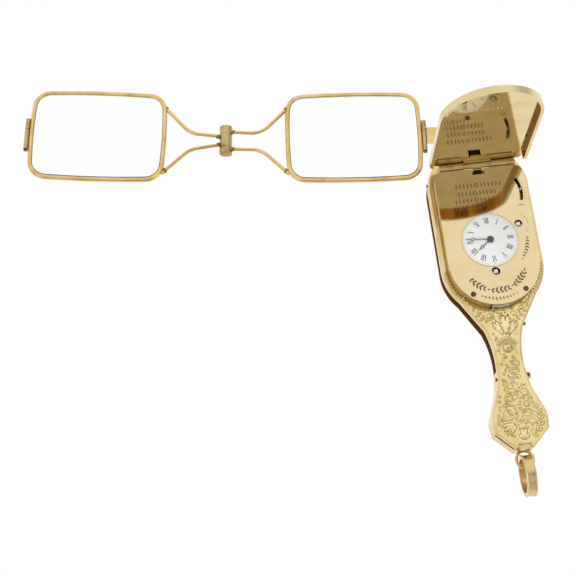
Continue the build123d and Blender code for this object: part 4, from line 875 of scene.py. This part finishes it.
def thickened(mesh: Mesh, step: Vector, sink: Vector) -> None:
    """Gives a flat mesh a thickness.

    Args:
        mesh: the bmesh.
        step: from it to its new front, in metres.
        sink: by how much its back is set into what carries it.
    """
    bmesh.ops.translate(mesh, vec=sink, verts=mesh.verts)
    grown = bmesh.ops.extrude_face_region(mesh, geom=mesh.faces[:], use_keep_orig=True)
    front = [item for item in grown["geom"] if isinstance(item, Corner)]
    bmesh.ops.translate(mesh, vec=step - sink, verts=front)
    bmesh.ops.recalc_face_normals(mesh, faces=mesh.faces)


def wall_strip(belongs: Callable[[Face], bool], cuts: Sequence[tuple[Triple, Triple]], rise: float) -> Mesh:
    """A strip of the outer side of the watch's wall, given a thickness.

    Args:
        belongs: tells whether a face of the wall belongs to the strip.
        cuts: the planes that end it, each a place in millimetres and the way to what it cuts off.
        rise: the strip's thickness, in millimetres.

    Returns:
        The strip, in metres.
    """
    mesh = copied("watch_rim")
    bmesh.ops.delete(mesh, geom=[face for face in mesh.faces if not belongs(face)], context="FACES")
    for place, way in cuts:
        trimmed(mesh, Vector(place) * MM, Vector(way))
    bmesh.ops.remove_doubles(mesh, verts=mesh.verts, dist=MERGE)
    bmesh.ops.dissolve_degenerate(mesh, dist=MERGE / 10, edges=mesh.edges)
    grown = bmesh.ops.extrude_face_region(mesh, geom=mesh.faces[:], use_keep_orig=True)
    outer = [item for item in grown["geom"] if isinstance(item, Corner)]
    share = 1.0 + rise / WATCH_RADIUS
    middle = Matrix.Translation((0, 0, -WATCH_END[1] * MM))
    bmesh.ops.scale(mesh, vec=(share, 1.0, share), space=middle, verts=outer)
    bmesh.ops.recalc_face_normals(mesh, faces=mesh.faces)
    return mesh


def upright(face: Face) -> bool:
    """Whether a face stands at right angles to the watch plate."""
    return abs(face.normal.y) <= 0.1


@dataclass
class HandleFront:
    """The raised edge and the punched ground on the front of the neck and the lower end.

    The edge was meant as a band. It comes out without width, because the face that is inset has no normal yet.

    Attributes:
        border: width meant for the band inside the case's bevel, in millimetres.
        border_rise: how far its edge stands out.
        sunk: how far edge and ground reach into the case.
        bevel: width of the case's bevel.
        foot_z: height of the foot.
        post: half width of the recess for the bow's post.
        post_depth: height of that recess.
        half: half width of the case at the watch.
        shoulder: degrees below level at which the case's round end is followed.
        waist_points: X and Z of the waist's two ends and its middle.
        under: how far the face runs in under the watch's wall.
    """

    border: float = 0.4
    border_rise: float = 0.07
    sunk: float = 0.05
    bevel: float = 0.5
    foot_z: float = -20.75
    post: float = 1.5
    post_depth: float = 0.9
    half: float = 12.4
    shoulder: tuple[float, ...] = (42.0, 36.0, 30.0, 24.0)
    waist_points: tuple[Point, Point, Point] = ((4.5, -7.8), (3.25, 0.0), (4.6, 8.2))
    under: float = 0.1

    def waist(self, steps: int = 12) -> list[Point]:
        """X and Z along the round waist, from the flare up to the neck."""
        centre, radius = circle_through(self.waist_points)
        ends = (self.waist_points[0], self.waist_points[2])
        low, high = (math.degrees(math.atan2(z - centre[1], x - centre[0])) % 360 for x, z in ends)
        return [polar(centre, radius, low + (high - low) * step / steps) for step in range(steps + 1)]

    def outline(self, steps: int = 16) -> list[Point]:
        """X and Z round the right half of the front face, from the foot's recess to the watch."""
        places = [(self.post, self.foot_z + self.post_depth), (self.post, self.foot_z),
                  (CASE_EDGE[0][1] - self.bevel * 0.4, self.foot_z)]
        places += [(x - self.bevel, z) for z, x in CASE_EDGE[1:4]]
        places += [(x - self.bevel, z) for x, z in self.waist()]
        radius, last = WATCH_RADIUS - self.under, self.shoulder[-1]
        places += [polar(WATCH_END, self.half - self.bevel, -level) for level in self.shoulder]
        places += [polar(WATCH_END, radius, -last - (90 - last) * step / steps) for step in range(steps)]
        return places

    def raised(self, name: str, is_border: bool, rise: float, finish: Finish) -> None:
        """Makes the edge or the ground out of the front face.

        Args:
            name: the piece's name.
            is_border: whether the edge is wanted, and not what it surrounds.
            rise: how far it stands out, in millimetres.
            finish: its finish.
        """
        mesh = bmesh.new()
        right = self.outline()
        around = right + [(0.0, WATCH_END[1] - WATCH_RADIUS + self.under)] + [(-x, z) for x, z in reversed(right)]
        mesh.faces.new([mesh.verts.new((x * MM, NECK_Y * MM, z * MM)) for x, z in around])
        inset = bmesh.ops.inset_region(mesh, faces=mesh.faces[:], use_boundary=True, use_even_offset=True,
                                       thickness=self.border * MM)
        ring = set(inset["faces"])
        bmesh.ops.delete(mesh, geom=[face for face in mesh.faces if (face in ring) != is_border], context="FACES")
        bmesh.ops.triangulate(mesh, faces=[face for face in mesh.faces if len(face.verts) > 4])
        thickened(mesh, Vector((0, -rise * MM, 0)), Vector((0, self.sunk * MM, 0)))
        finish_piece(name, mesh, finish, "case", smooth=False)

    def build(self) -> None:
        """Makes the edge and the ground."""
        self.raised("neck_border", True, self.border_rise, Finish.BORDER)
        self.raised("neck_ground", False, GROUND_RISE, Finish.GROUND)


@dataclass
class HandleOrnament:
    """The floral engraving on the neck and the lower end.

    Places are X and Z in millimetres, and directions are in degrees, anticlockwise from +X.

    Attributes:
        relief: how far flowers and leaves stand out.
        cut: how far their outlines do.
        blades: stalk end, length, width and direction of each large leaf.
        leaves: the same of each small leaf.
        flowers: middle, radius and number of petals of each flower.
        scrolls: middle, radius, first direction, sweep and half width of each curl.
        fronds: points of each stalk, its longest leaf, and the lean of its leaves and its half width.
        strokes: points of each plain stroke, and its half width at both ends.
        wave: points of the lowest of the waves, and its half width at both ends.
        wave_steps: how far each wave lies above the lowest.
        circle: radius of the line round the button, and its half width.
        shell: distance from the button, length and width of the leaves above it.
        shell_turns: their directions.
        side_scrolls: curls on the right of the neck, which are mirrored on the left.
        side_leaves: leaves on the right, likewise.
        side_frond: points and longest leaf of a stalk on the right, likewise.
        ledge: distance from the watch, length and width of the leaves on the ledge.
        ledge_levels: how far below level each of them lies.
        ledge_lean: their lean from straight down at level, and what it loses per degree below.
        curl: radius, sweep and half width of each small curl.
        sprout: length, width and lean of the two leaves that stand between the curls.
        sprout_shift: how far to the left they begin.
        margin: free width between the case's edge and the small curls.
        lowest: height below which there are none.
        watch_room: width round the watch that stays free of them.
        button_room: radius round the button that does.
        grid: distance between them.
        jitter: how far each is moved at random.
        curl_room: free width that each needs.
        seed: start of the draw that scatters them.
    """

    relief: float = 0.13
    cut: float = 0.03
    blades: Rows = (
        ((0.3, -19.0), 2.7, 1.5, 90), ((-1.4, -15.2), 3.1, 1.7, 196), ((-1.2, -15.6), 2.4, 1.1, 222),
        ((-1.8, -13.9), 2.4, 0.9, 172), ((0.3, 6.3), 5.2, 1.9, 84), ((-0.5, 6.4), 3.9, 1.2, 114),
        ((1.3, 6.4), 3.8, 1.1, 62),
    )
    leaves: Rows = (((0.3, -19.0), 1.7, 0.7, 50), ((0.2, -19.0), 1.7, 0.7, 132))
    flowers: Rows = (
        ((2.55, -17.3), 0.65, 5), ((-0.95, -13.4), 0.6, 5), ((2.1, -10.7), 0.75, 6), ((2.05, -7.9), 0.95, 7),
        ((-0.95, -6.2), 0.7, 6), ((1.45, -0.8), 0.75, 6),
    )
    scrolls: Rows = (
        ((-2.3, -12.7), 1.7, 215, -250, 0.13), ((-3.6, -17.0), 0.8, 20, 260, 0.08),
        ((0.3, -11.4), 0.85, 160, -270, 0.12), ((-1.0, -8.0), 0.7, -40, 260, 0.12),
        ((2.9, -12.6), 0.7, 200, 250, 0.12), ((-1.2, -2.2), 0.75, -60, 280, 0.12),
        ((1.3, -4.2), 0.8, 130, -290, 0.12), ((-1.3, 0.6), 0.6, -90, -260, 0.12),
    )
    fronds: Rows = (
        (((2.4, -18.4), (3.6, -17.4), (4.4, -16.2), (4.8, -14.8), (4.8, -13.4), (4.4, -12.0), (3.7, -10.8)),
         1.35, 34, 0.1),
        (((-2.6, -9.6), (-1.9, -8.7), (-2.1, -7.7), (-1.6, -6.9)), 0.9, 48, 0.07),
        (((-0.4, -5.4), (0.3, -4.4), (0.0, -3.3), (0.6, -2.2), (0.4, -1.2)), 1.0, 48, 0.07),
    )
    strokes: Rows = (
        (((-3.4, -10.4), (-2.2, -9.6), (-1.0, -9.9), (0.2, -9.2), (0.8, -8.2)), 0.12, 0.07),
        (((-1.9, 1.4), (-2.0, 3.2), (-1.6, 4.8), (-0.6, 5.5)), 0.1, 0.06),
        (((1.9, 1.2), (2.1, 3.0), (1.9, 4.4)), 0.1, 0.06),
        (((0.35, 6.4), (0.75, 8.9), (0.85, 11.4)), 0.09, 0.05),
        (((2.2, 6.2), (3.0, 6.15), (3.225, 6.1)), 0.06, 0.04), (((2.2, 6.7), (3.0, 6.65), (3.35, 6.6)), 0.06, 0.04),
        (((2.2, 7.2), (3.0, 7.15), (3.475, 7.1)), 0.06, 0.04), (((2.2, 7.7), (3.0, 7.65), (3.6, 7.6)), 0.06, 0.04),
    )
    wave: tuple = (((0.2, -14.6), (1.0, -14.1), (1.9, -14.7), (2.7, -14.2), (3.5, -14.7)), 0.09, 0.06)
    wave_steps: tuple[float, ...] = (0.0, 0.45, 0.9)
    circle: Point = (1.28, 0.11)
    shell: Triple = (1.55, 1.15, 0.3)
    shell_turns: Sequence[int] = range(20, 161, 14)
    side_scrolls: Rows = (((2.3, 8.9), 0.8, 30, 280, 0.12), ((3.0, 11.2), 0.95, 170, -300, 0.11),
                          ((4.9, 12.5), 0.85, -10, 280, 0.12))
    side_leaves: Rows = (((6.2, 13.6), 1.5, 0.55, 48), ((7.1, 14.6), 1.4, 0.5, 54), ((7.9, 15.9), 1.3, 0.42, 60))
    side_frond: tuple = (((3.4, 10.1), (4.4, 10.7), (5.4, 11.6), (6.3, 12.8)), 0.95)
    ledge: Triple = (0.28, 0.78, 0.3)
    ledge_levels: tuple[float, ...] = tuple(3 + step * 3.6 for step in range(12))
    ledge_lean: Point = (62.0, 0.6)
    curl: Triple = (0.42, 260, 0.075)
    sprout: tuple[Triple, ...] = ((0.75, 0.26, 0.0), (0.6, 0.22, 50.0))
    sprout_shift: float = 0.25
    margin: float = 1.35
    lowest: float = -19.2
    watch_room: float = 0.35
    button_room: float = 1.7
    grid: float = 0.85
    jitter: float = 0.25
    curl_room: float = 0.3
    seed: int = 7

    def half_width(self, z: float) -> float:
        """Half width of the field that the small curls fill at a height."""
        for (z0, x0), (z1, x1) in zip(CASE_EDGE, CASE_EDGE[1:]):
            if z0 <= z <= z1:
                return x0 + (x1 - x0) * (z - z0) / (z1 - z0) - self.margin
        return 0.0

    def in_field(self, x: float, z: float) -> bool:
        """Whether a spot lies in the field, clear of the watch, the button and the bow's post."""
        beside_watch = math.hypot(x - WATCH_END[0], z - WATCH_END[1]) >= WATCH_RADIUS + self.watch_room
        beside_button = math.hypot(x, z - BUTTON_Z) > self.button_room
        return abs(x) <= self.half_width(z) and z >= self.lowest and beside_watch and beside_button

    def rows(self, work: Engraving) -> None:
        """Draws the large leaves, flowers, curls, stalks and strokes, from their rows of sizes."""
        work.draw(blade=self.blades, leaf=self.leaves, flower=self.flowers, scroll=self.scrolls, frond=self.fronds,
                  stroke=self.strokes)
        lowest, *widths = self.wave
        for step in self.wave_steps:
            work.stroke([(x, z + step) for x, z in lowest], *widths)

    def round_button(self, work: Engraving) -> None:
        """The line round the button and the shell of leaves above it."""
        button = (0.0, BUTTON_Z)
        radius, half = self.circle
        work.stroke([polar(button, radius, turn) for turn in range(0, 361, 30)], half, half)
        reach, length, width = self.shell
        for turn in self.shell_turns:
            work.leaf(polar(button, reach, turn), length, width, turn)

    def sides(self, work: Engraving) -> None:
        """What the neck and the ledge carry on both sides alike."""
        for side in (-1, 1):
            for (x, z), radius, start, sweep, half in self.side_scrolls:
                work.scroll((side * x, z), radius, 90 + side * (start - 90), side * sweep, half)
            points, longest = self.side_frond
            work.frond([(side * x, z) for x, z in points], longest)
            for (x, z), *sizes, turn in self.side_leaves:
                work.leaf((side * x, z), *sizes, 90 + side * (turn - 90))

    def along_ledge(self, work: Engraving) -> None:
        """Slanting leaves along the ledge beside the watch's round end."""
        room, length, width = self.ledge
        lean, less = self.ledge_lean
        for level in self.ledge_levels:
            x, z = polar(WATCH_END, WATCH_RADIUS + room, -level)
            for side in (-1, 1):
                work.leaf((side * x, z), length, width, -90 + side * (lean - level * less))

    def curls(self, work: Engraving) -> None:
        """Fills the rest of the field with small curls and leaves."""
        draw = random.Random(self.seed)
        taken = list(work.spots)
        for step_z in range(-21, 18):
            for step_x in range(-11, 12):
                x = step_x * self.grid + draw.uniform(-self.jitter, self.jitter)
                z = step_z * self.grid + draw.uniform(-self.jitter, self.jitter)
                turn = draw.uniform(0, 360)
                wind = draw.choice((-1, 1))
                room = min(math.hypot(x - a, z - b) - r for a, b, r in taken)
                if not self.in_field(x, z) or room < self.curl_room:
                    continue
                if step_x % 2:
                    radius, sweep, half = self.curl
                    work.scroll((x, z), radius, turn, wind * sweep, half)
                    continue
                for length, width, lean in self.sprout:
                    work.leaf((x - self.sprout_shift, z), length, width, turn + lean)

    def build(self) -> None:
        """Makes the ornament and its outlines."""
        level = NECK_Y - GROUND_RISE
        cuts = Engraving("neck_cuts", level, self.cut, Finish.CUT)
        work = Engraving("neck_engraving", level, self.relief, Finish.RELIEF, outline=cuts)
        for draw in (self.rows, self.round_button, self.sides, self.curls, self.along_ledge):
            draw(work)
        work.build()
        cuts.build()


@dataclass
class WatchFront:
    """Engraved leaf work and the regulator's scale on the watch plate.

    Places are X and Z in millimetres, and directions are in degrees, anticlockwise from +X.

    Attributes:
        face_y: depth of the plate's face.
        cut: how far the darkened lines show above it.
        sprigs: middle, length and leaf of each sprig.
        garlands: middle, radius, both ends, step and leaf of each garland.
        scrolls: middle, radius, first direction, sweep and half width of each curl.
        strokes: points of each plain stroke, and its half width at both ends.
        scale: middle, radius and first direction of the regulator's scale.
        tick_step: degrees between its ticks.
        ticks: the length of each tick, every third of them long.
    """

    face_y: float = -5.8
    cut: float = 0.012
    sprigs: Rows = (((-0.6, 43.9), 11.0, 0.95), ((-1.2, 41.9), 9.2, 0.95), ((-1.6, 40.0), 10.2, 0.95),
                    ((-3.9, 38.4), 6.2, 0.95), ((9.0, 37.6), 1.5, 0.4))
    garlands: Rows = ((WATCH_END, 7.5, -148, -112, 6.5, 1.15), (WATCH_END, 7.5, -104, -66, 6.5, 1.15),
                      (WATCH_END, 7.5, -60, -26, 6.5, 1.15), (WATCH_END, 9.5, -118, -66, 5.0, 0.6),
                      (DIAL_MIDDLE, 8.9, -2, -38, 5.0, 0.75))
    scrolls: Rows = (((-5.9, 19.6), 0.75, 60, 300, 0.06), ((6.4, 20.3), 0.75, 120, -300, 0.06),
                     ((9.0, 30.9), 0.45, 60, -280, 0.04))
    strokes: Rows = ((((8.4, 34.9), (9.2, 34.4), (9.8, 33.4), (9.7, 32.2)), 0.05, 0.03),)
    scale: tuple[Point, float, float] = ((1.9, 41.0), 8.2, 25.0)
    tick_step: float = 3.0
    ticks: tuple[float, ...] = (0.55, 0.38, 0.38) * 4 + (0.55, 0.38)

    def build(self) -> None:
        """Makes the engraving."""
        work = Engraving("plate_engraving", self.face_y, self.cut, Finish.ENGRAVED)
        work.draw(row=self.sprigs, garland=self.garlands, scroll=self.scrolls, stroke=self.strokes)
        middle, radius, first = self.scale
        for index, length in enumerate(self.ticks):
            turn = first - index * self.tick_step
            work.stroke([polar(middle, radius + length * share, turn) for share in (0.0, 0.5, 1.0)], 0.04, 0.04)
        work.build()


@dataclass
class LidInside:
    """Rows of engraved sprigs on the inner face of the lid.

    Attributes:
        face_y: depth of the closed lid's inner face, in millimetres.
        cut: how far the lines stand out.
        hinge: Y and Z of the lid's hinge.
        angle: how far the lid stands open, in degrees.
        sprigs: middle on the closed lid, length and leaf of each sprig.
    """

    face_y: float = -6.4
    cut: float = 0.02
    hinge: Point = (-5.6, 49.25)
    angle: float = 92.0
    sprigs: Rows = (((-4.4, 39.8), 5.0, 1.0), ((-5.2, 35.8), 4.6, 1.0), ((-3.6, 31.8), 6.4, 1.0),
                    ((-4.0, 27.6), 5.0, 1.0), ((-1.0, 22.6), 7.0, 1.0))

    def build(self) -> None:
        """Makes the engraving on the open lid."""
        middle = Matrix.Translation((0, *self.hinge))
        turned = middle @ Matrix.Rotation(math.radians(-self.angle), 4, "X") @ middle.inverted()
        work = Engraving("lid_engraving", self.face_y, self.cut, Finish.RELIEF, "lid", "gold", turned)
        work.draw(row=self.sprigs)
        work.build()


@dataclass
class RimLines:
    """The thin raised lines round the wall of the watch.

    Attributes:
        levels: depth of each line's middle along Y, in millimetres.
        width: width of a line.
        rise: how far it stands out of the wall.
        high_z: height above which the wall turns towards the hinge.
    """

    levels: tuple[float, ...] = (-3.32, -3.78, -4.7)
    width: float = 0.16
    rise: float = 0.06
    high_z: float = 37.5

    def outside(self, face: Face) -> bool:
        """Whether a face belongs to the outer side of the wall."""
        middle = face.calc_center_median() / MM
        along = min(0.0, middle.z - WATCH_END[1]) + max(0.0, middle.z - self.high_z)
        away = Vector((middle.x, 0, along))
        return upright(face) and face.normal.dot(away) > 0

    def build(self) -> None:
        """Makes the lines."""
        mesh = bmesh.new()
        for level in self.levels:
            cuts = [((0, level + side * self.width / 2, 0), (0, side, 0)) for side in (1, -1)]
            strip = wall_strip(self.outside, cuts, self.rise)
            line = bpy.data.meshes.new("rim_line")
            strip.to_mesh(line)
            strip.free()
            mesh.from_mesh(line)
        finish_piece("rim_lines", mesh, Finish.BORDER, "case", smooth=False)


@dataclass
class LatchSeat:
    """The bright steel seat of the lid's catch in the wall of the watch.

    Attributes:
        half_width: half its length, in millimetres.
        gap: length of the black strip of painted shade at its left end, where a gap lies in shade.
        front: depth of its front edge along Y.
        back: depth of its back edge.
        rise: how far it stands out of the wall.
        highest: height above which the wall isn't part of it.
        slope: how far down the wall has to look there, as its normal's Z.
    """

    half_width: float = 2.0
    gap: float = 0.5
    front: float = -5.28
    back: float = -3.1
    rise: float = 0.12
    highest: float = 16.0
    slope: float = -0.5

    def below(self, face: Face) -> bool:
        """Whether a face belongs to the lowest part of the outer wall."""
        low = face.calc_center_median().z <= self.highest * MM
        return upright(face) and low and face.normal.z <= self.slope

    def strip(self, left: float, right: float) -> Mesh:
        """The part of the wall between two places along X, given a thickness."""
        cuts = (((left, 0, 0), (-1, 0, 0)), ((right, 0, 0), (1, 0, 0)),
                ((0, self.front, 0), (0, -1, 0)), ((0, self.back, 0), (0, 1, 0)))
        return wall_strip(self.below, cuts, self.rise)

    def build(self) -> None:
        """Makes the seat, and the black strip of painted shade for the gap beside it."""
        left, right = -self.half_width, self.half_width
        finish_piece("latch_seat", self.strip(left, right), Finish.STEEL, "case")
        # painted shade: a black strip stands for the shaded gap
        finish_piece("latch_gap", self.strip(left - self.gap, left), Finish.BLACK_STEEL, "case", smooth=False)


@dataclass
class HandleDetails:
    """The domed button, and a black bar of painted shade for the slit at the lower end.

    Attributes:
        button: radius of the button, in millimetres.
        proud: how far it stands out.
        button_back: how far its back lies inside the face.
        slit: X and Z of the ends of the slit along the lower left edge.
        slit_y: its depth.
        slit_height: its size along Y.
        slit_width: its width.
        slit_edge: its bevel.
    """

    button: float = 1.04
    proud: float = 0.78
    button_back: float = 0.2
    slit: tuple[Point, Point] = ((-6.2, -17.0), (-2.3, -20.85))
    slit_y: float = -1.42
    slit_height: float = 0.34
    slit_width: float = 0.12
    slit_edge: float = 0.03

    def make_button(self) -> None:
        """Makes the front half of a flattened ball, closed at its back."""
        mesh = bmesh.new()
        size = Matrix.Diagonal((self.button * MM, self.proud * MM, self.button * MM, 1.0))
        place = Matrix.Translation(Vector((0, NECK_Y, BUTTON_Z)) * MM)
        bmesh.ops.create_uvsphere(mesh, u_segments=32, v_segments=16, radius=1.0, matrix=place @ size)
        trimmed(mesh, Vector((0, NECK_Y + self.button_back, 0)) * MM, Vector((0, 1, 0)))
        bmesh.ops.holes_fill(mesh, edges=[edge for edge in mesh.edges if edge.is_boundary])
        finish_piece("lid_button_dome", mesh, Finish.BORDER, "lid_button", ("lid_button",))

    def make_slit(self) -> None:
        """Makes the dark line along the lower left edge: a black bar of painted shade in the slit between the front
        and the lower end.
        """
        mesh = bmesh.new()
        (x0, z0), (x1, z1) = self.slit
        middle = Vector(((x0 + x1) / 2, self.slit_y, (z0 + z1) / 2)) * MM
        size = (math.hypot(x1 - x0, z1 - z0) * MM, self.slit_height * MM, self.slit_width * MM)
        bar(mesh, middle, size, math.degrees(math.atan2(z0 - z1, x1 - x0)))
        bmesh.ops.bevel(mesh, geom=mesh.edges[:], offset=self.slit_edge * MM, affect="EDGES", segments=1,
                        profile=0.5, material=-1)
        # painted shade: the black bar stands for the shade in the slit
        finish_piece("foot_slit", mesh, Finish.BLACK_STEEL, "case", smooth=False)

    def build(self) -> None:
        """Makes both pieces."""
        self.make_button()
        self.make_slit()


@dataclass
class BridgeDetails:
    """The domed ends of the bridge hinge, and the brazed joints of its wires on the rims and the hinge.

    Attributes:
        bridge: X and Z of the bridge hinge, in millimetres.
        tilt: how far the open pair rises to the left, in degrees.
        axis_y: depth of the hinge's axis.
        half_length: half the length of its tubes.
        dome: radius and height of a domed end.
        wire_y: depth of the wires.
        root: place along and across the pair where a wire leaves its rim.
        tip: place along the pair where a wire meets the hinge.
        tips: the two places across it, on the left side and on the right.
        radius: radius of a joint.
        at_rim: the sizes of a joint on a rim, as shares of that radius.
        at_hinge: the sizes of one on the hinge.
    """

    bridge: Point = (-60.07, 65.7)
    tilt: float = 6.88
    axis_y: float = 0.4
    half_length: float = 3.6
    dome: Point = (1.42, 0.36)
    wire_y: float = -0.22
    root: Point = (15.05, 8.45)
    tip: float = 1.65
    tips: tuple[Point, Point] = ((-1.35, 0.85), (-2.6, 2.1))
    radius: float = 0.56
    at_rim: Triple = (1.1, 0.95, 1.25)
    at_hinge: Triple = (1.7, 1.1, 0.95)

    def spot(self, along: float, across: float, depth: float) -> Vector:
        """A place in the pair's plane, in metres."""
        tilt = math.radians(self.tilt)
        x = self.bridge[0] + along * math.cos(tilt) + across * math.sin(tilt)
        z = self.bridge[1] - along * math.sin(tilt) + across * math.cos(tilt)
        return Vector((x, depth, z)) * MM

    def domes(self) -> None:
        """Makes the domed ends."""
        mesh = bmesh.new()
        radius, height = self.dome
        size = Matrix.Diagonal((radius * MM, radius * MM, height * MM, 1.0))
        turned = Matrix.Rotation(math.radians(self.tilt), 4, "Y") @ size
        for end in (-1, 1):
            place = Matrix.Translation(self.spot(0.0, end * self.half_length, self.axis_y))
            bmesh.ops.create_uvsphere(mesh, u_segments=24, v_segments=12, radius=1.0, matrix=place @ turned)
        finish_piece("bridge_domes", mesh, Finish.TUBE, "glasses_right")

    def brazing(self, side: int, name: str, tips: Point) -> None:
        """Makes the smooth lumps of solder on one side."""
        mesh = bmesh.new()
        joints = [(side * self.root[0], end * self.root[1], self.at_rim) for end in (-1, 1)]
        joints += [(side * self.tip, across, self.at_hinge) for across in tips]
        for along, across, shares in joints:
            lump = Matrix.Diagonal((*(self.radius * share * MM for share in shares), 1.0))
            place = Matrix.Translation(self.spot(along, across, self.wire_y))
            bmesh.ops.create_icosphere(mesh, subdivisions=3, radius=1.0, matrix=place @ lump)
        finish_piece(name + "_brazing", mesh, Finish.BRAZING, "glasses_" + name)

    def build(self) -> None:
        """Makes the domes and the joints of both sides."""
        self.domes()
        for side, name, tips in zip((-1, 1), ("left", "right"), self.tips):
            self.brazing(side, name, tips)


@dataclass
class RingBeads:
    """The two raised edges of the chain ring's band, and the line in its middle.

    Attributes:
        centre_z: height of the ring's middle, in millimetres.
        outer: its outer radius.
        half_width: half the width of its band.
        bead: radius of an edge's bead.
        line: radius of the line in the middle.
        steps: corners round the ring.
    """

    centre_z: float = -26.91
    outer: float = 4.75
    half_width: float = 1.1
    bead: float = 0.16
    line: float = 0.07
    steps: int = 72

    def hoop(self, mesh: Mesh, across: float, radius: float) -> None:
        """A bead round the ring at a place across its band."""
        top = Matrix.Translation(Vector((across, 0, self.centre_z + self.outer)) * MM)
        made = bmesh.ops.create_circle(mesh, segments=8, radius=radius * MM,
                                       matrix=top @ Matrix.Rotation(math.pi / 2, 4, "X"))
        edges = list({edge for vert in made["verts"] for edge in vert.link_edges})
        bmesh.ops.spin(mesh, geom=made["verts"] + edges, cent=Vector((0, 0, self.centre_z)) * MM, axis=(1, 0, 0),
                       angle=2 * math.pi, steps=self.steps, use_merge=True)

    def build(self) -> None:
        """Makes the beads."""
        mesh = bmesh.new()
        for side in (-1, 1):
            self.hoop(mesh, side * (self.half_width - self.bead), self.bead)
        self.hoop(mesh, 0.0, self.line)
        bmesh.ops.remove_doubles(mesh, verts=mesh.verts, dist=MERGE / 10)
        bmesh.ops.recalc_face_normals(mesh, faces=mesh.faces)
        finish_piece("ring_beads", mesh, Finish.RING, "chain_ring")


# ---------------------------------------------------------------- studio
@dataclass
class Viewpoint:
    """The photograph's camera.

    Attributes:
        place: where it stands, in metres.
        forward: the direction that it looks in.
        roll: its turn about that direction, in degrees.
        lens: focal length in millimetres.
        sensor: width of the sensor.
        near: nearest distance that it sees, in metres.
    """

    place: Triple = (-0.065198, -0.307966, -0.081879)
    forward: Triple = (0.04862164, 0.94363249, 0.32740442)
    roll: float = -7.294
    lens: float = 84.71
    sensor: float = 36.0
    near: float = 0.01

    def build(self) -> None:
        """Makes the camera and sets it as the scene's own."""
        data = bpy.data.cameras.new("camera")
        data.lens = self.lens
        data.sensor_width = self.sensor
        data.clip_start = self.near
        camera = placed("camera", data)
        ahead = Vector(self.forward).normalized()
        level = ahead.cross(Vector((0, 0, 1))).normalized()
        above = level.cross(ahead)
        roll = math.radians(self.roll)
        right = level * math.cos(roll) + above * math.sin(roll)
        up = above * math.cos(roll) - level * math.sin(roll)
        turn = Matrix((right, up, -ahead)).transposed().to_4x4()
        camera.matrix_world = Matrix.Translation(self.place) @ turn
        bpy.context.scene.camera = camera


@dataclass(frozen=True)
class Opening:
    """A dimmer patch of the tent, which the metal mirrors.

    Attributes:
        way: direction from the object.
        outer: cosine of the angle at which it begins.
        inner: cosine of the angle inside which it is darkest.
        level: its brightness there.
    """

    way: Triple
    outer: float
    inner: float
    level: float


@dataclass
class Studio:
    """A white tent with dimmer patches, a soft lamp and a pale floor.

    Attributes:
        floor_z: height of the floor, in metres.
        floor_size: its side.
        floor_tones: the two pale colours that mix on it.
        openings: the dimmer patches.
        lamp_place: where the lamp stands.
        lamp_aim: what it is turned to.
        lamp_size: its side.
        lamp_power: its power in watts.
    """

    floor_z: float = -0.34
    floor_size: float = 4.0
    floor_tones: tuple[Colour, Colour] = ((0.86, 0.86, 0.86), (0.82, 0.82, 0.82))
    openings: tuple[Opening, ...] = (
        Opening((0.19, -0.87, -0.45), 0.77, 0.90, 0.56),
        Opening((0.0, -0.25, -0.97), 0.80, 0.97, 0.60),
        Opening((0.92, -0.30, 0.10), 0.80, 0.95, 0.62),
        Opening((-0.85, 0.25, -0.45), 0.80, 0.95, 0.60),
    )
    lamp_place: Triple = (-0.5, -0.5, 0.7)
    lamp_aim: Triple = (-0.03, 0.0, 0.03)
    lamp_size: float = 0.5
    lamp_power: float = 3.0

    def tent(self) -> None:
        """Builds the world: pure white behind the object, softly uneven all round it."""
        world = bpy.data.worlds.new("tent")
        bpy.context.scene.world = world
        world.use_nodes = True
        tree = Nodes(world.node_tree)
        way = tree.node("TexCoord").outputs["Generated"]
        level = 1.0
        for opening in self.openings:
            dot = tree.node("VectorMath", operation="DOT_PRODUCT")
            tree.feed(dot.inputs[0], way)
            tree.feed(dot.inputs[1], Vector(opening.way).normalized())
            dimmed = tree.ramp(dot.outputs["Value"], opening.outer, opening.inner, 1.0, opening.level)
            level = tree.maths("MULTIPLY", dimmed, level)
        path = tree.node("LightPath").outputs
        seen = tree.maths("MAXIMUM", path["Is Camera Ray"], path["Is Transmission Ray"])
        shade = tree.nodes["Background"]
        tree.feed(shade.inputs["Color"], tree.mix(seen, level, 1.0, "FLOAT"))
        tree.feed(shade.inputs["Strength"], 1.0)

    def floor(self) -> None:
        """Builds the pale floor, well below the camera's view."""
        mesh = bmesh.new()
        bmesh.ops.create_grid(mesh, x_segments=1, y_segments=1, size=self.floor_size / 2,
                              matrix=Matrix.Translation((0, 0, self.floor_z)))
        data = bpy.data.meshes.new("floor")
        mesh.to_mesh(data)
        mesh.free()
        floor = placed("floor", data)
        tree = Tree("pale_floor")
        tree.surface("Base Color", tree.mix(tree.noise(3), *self.floor_tones))
        tree.surface("Roughness", 0.8)
        data.materials.append(tree.material)
        floor.visible_glossy = False

    def lamp(self) -> None:
        """Adds the soft square lamp."""
        data = bpy.data.lights.new("key", "AREA")
        data.size = self.lamp_size
        data.energy = self.lamp_power
        lamp = placed("key", data)
        lamp.location = self.lamp_place
        lamp.visible_glossy = False
        lamp.rotation_euler = (Vector(self.lamp_aim) - Vector(self.lamp_place)).to_track_quat("-Z", "Y").to_euler()

    def build(self) -> None:
        """Makes the world, the floor and the lamp."""
        self.tent()
        self.floor()
        self.lamp()


def main() -> None:
    """Builds the object's dress and the studio around it."""
    bpy.context.scene.view_settings.view_transform = "Standard"
    dress_nodes()
    for made in (Dial, HandleFront, HandleOrnament, WatchFront, LidInside, RimLines, LatchSeat, HandleDetails,
                 BridgeDetails, RingBeads, Studio, Viewpoint):
        made().build()
        LOG.info("%s is built", made.__name__)


if __name__ == "__main__":
    main()
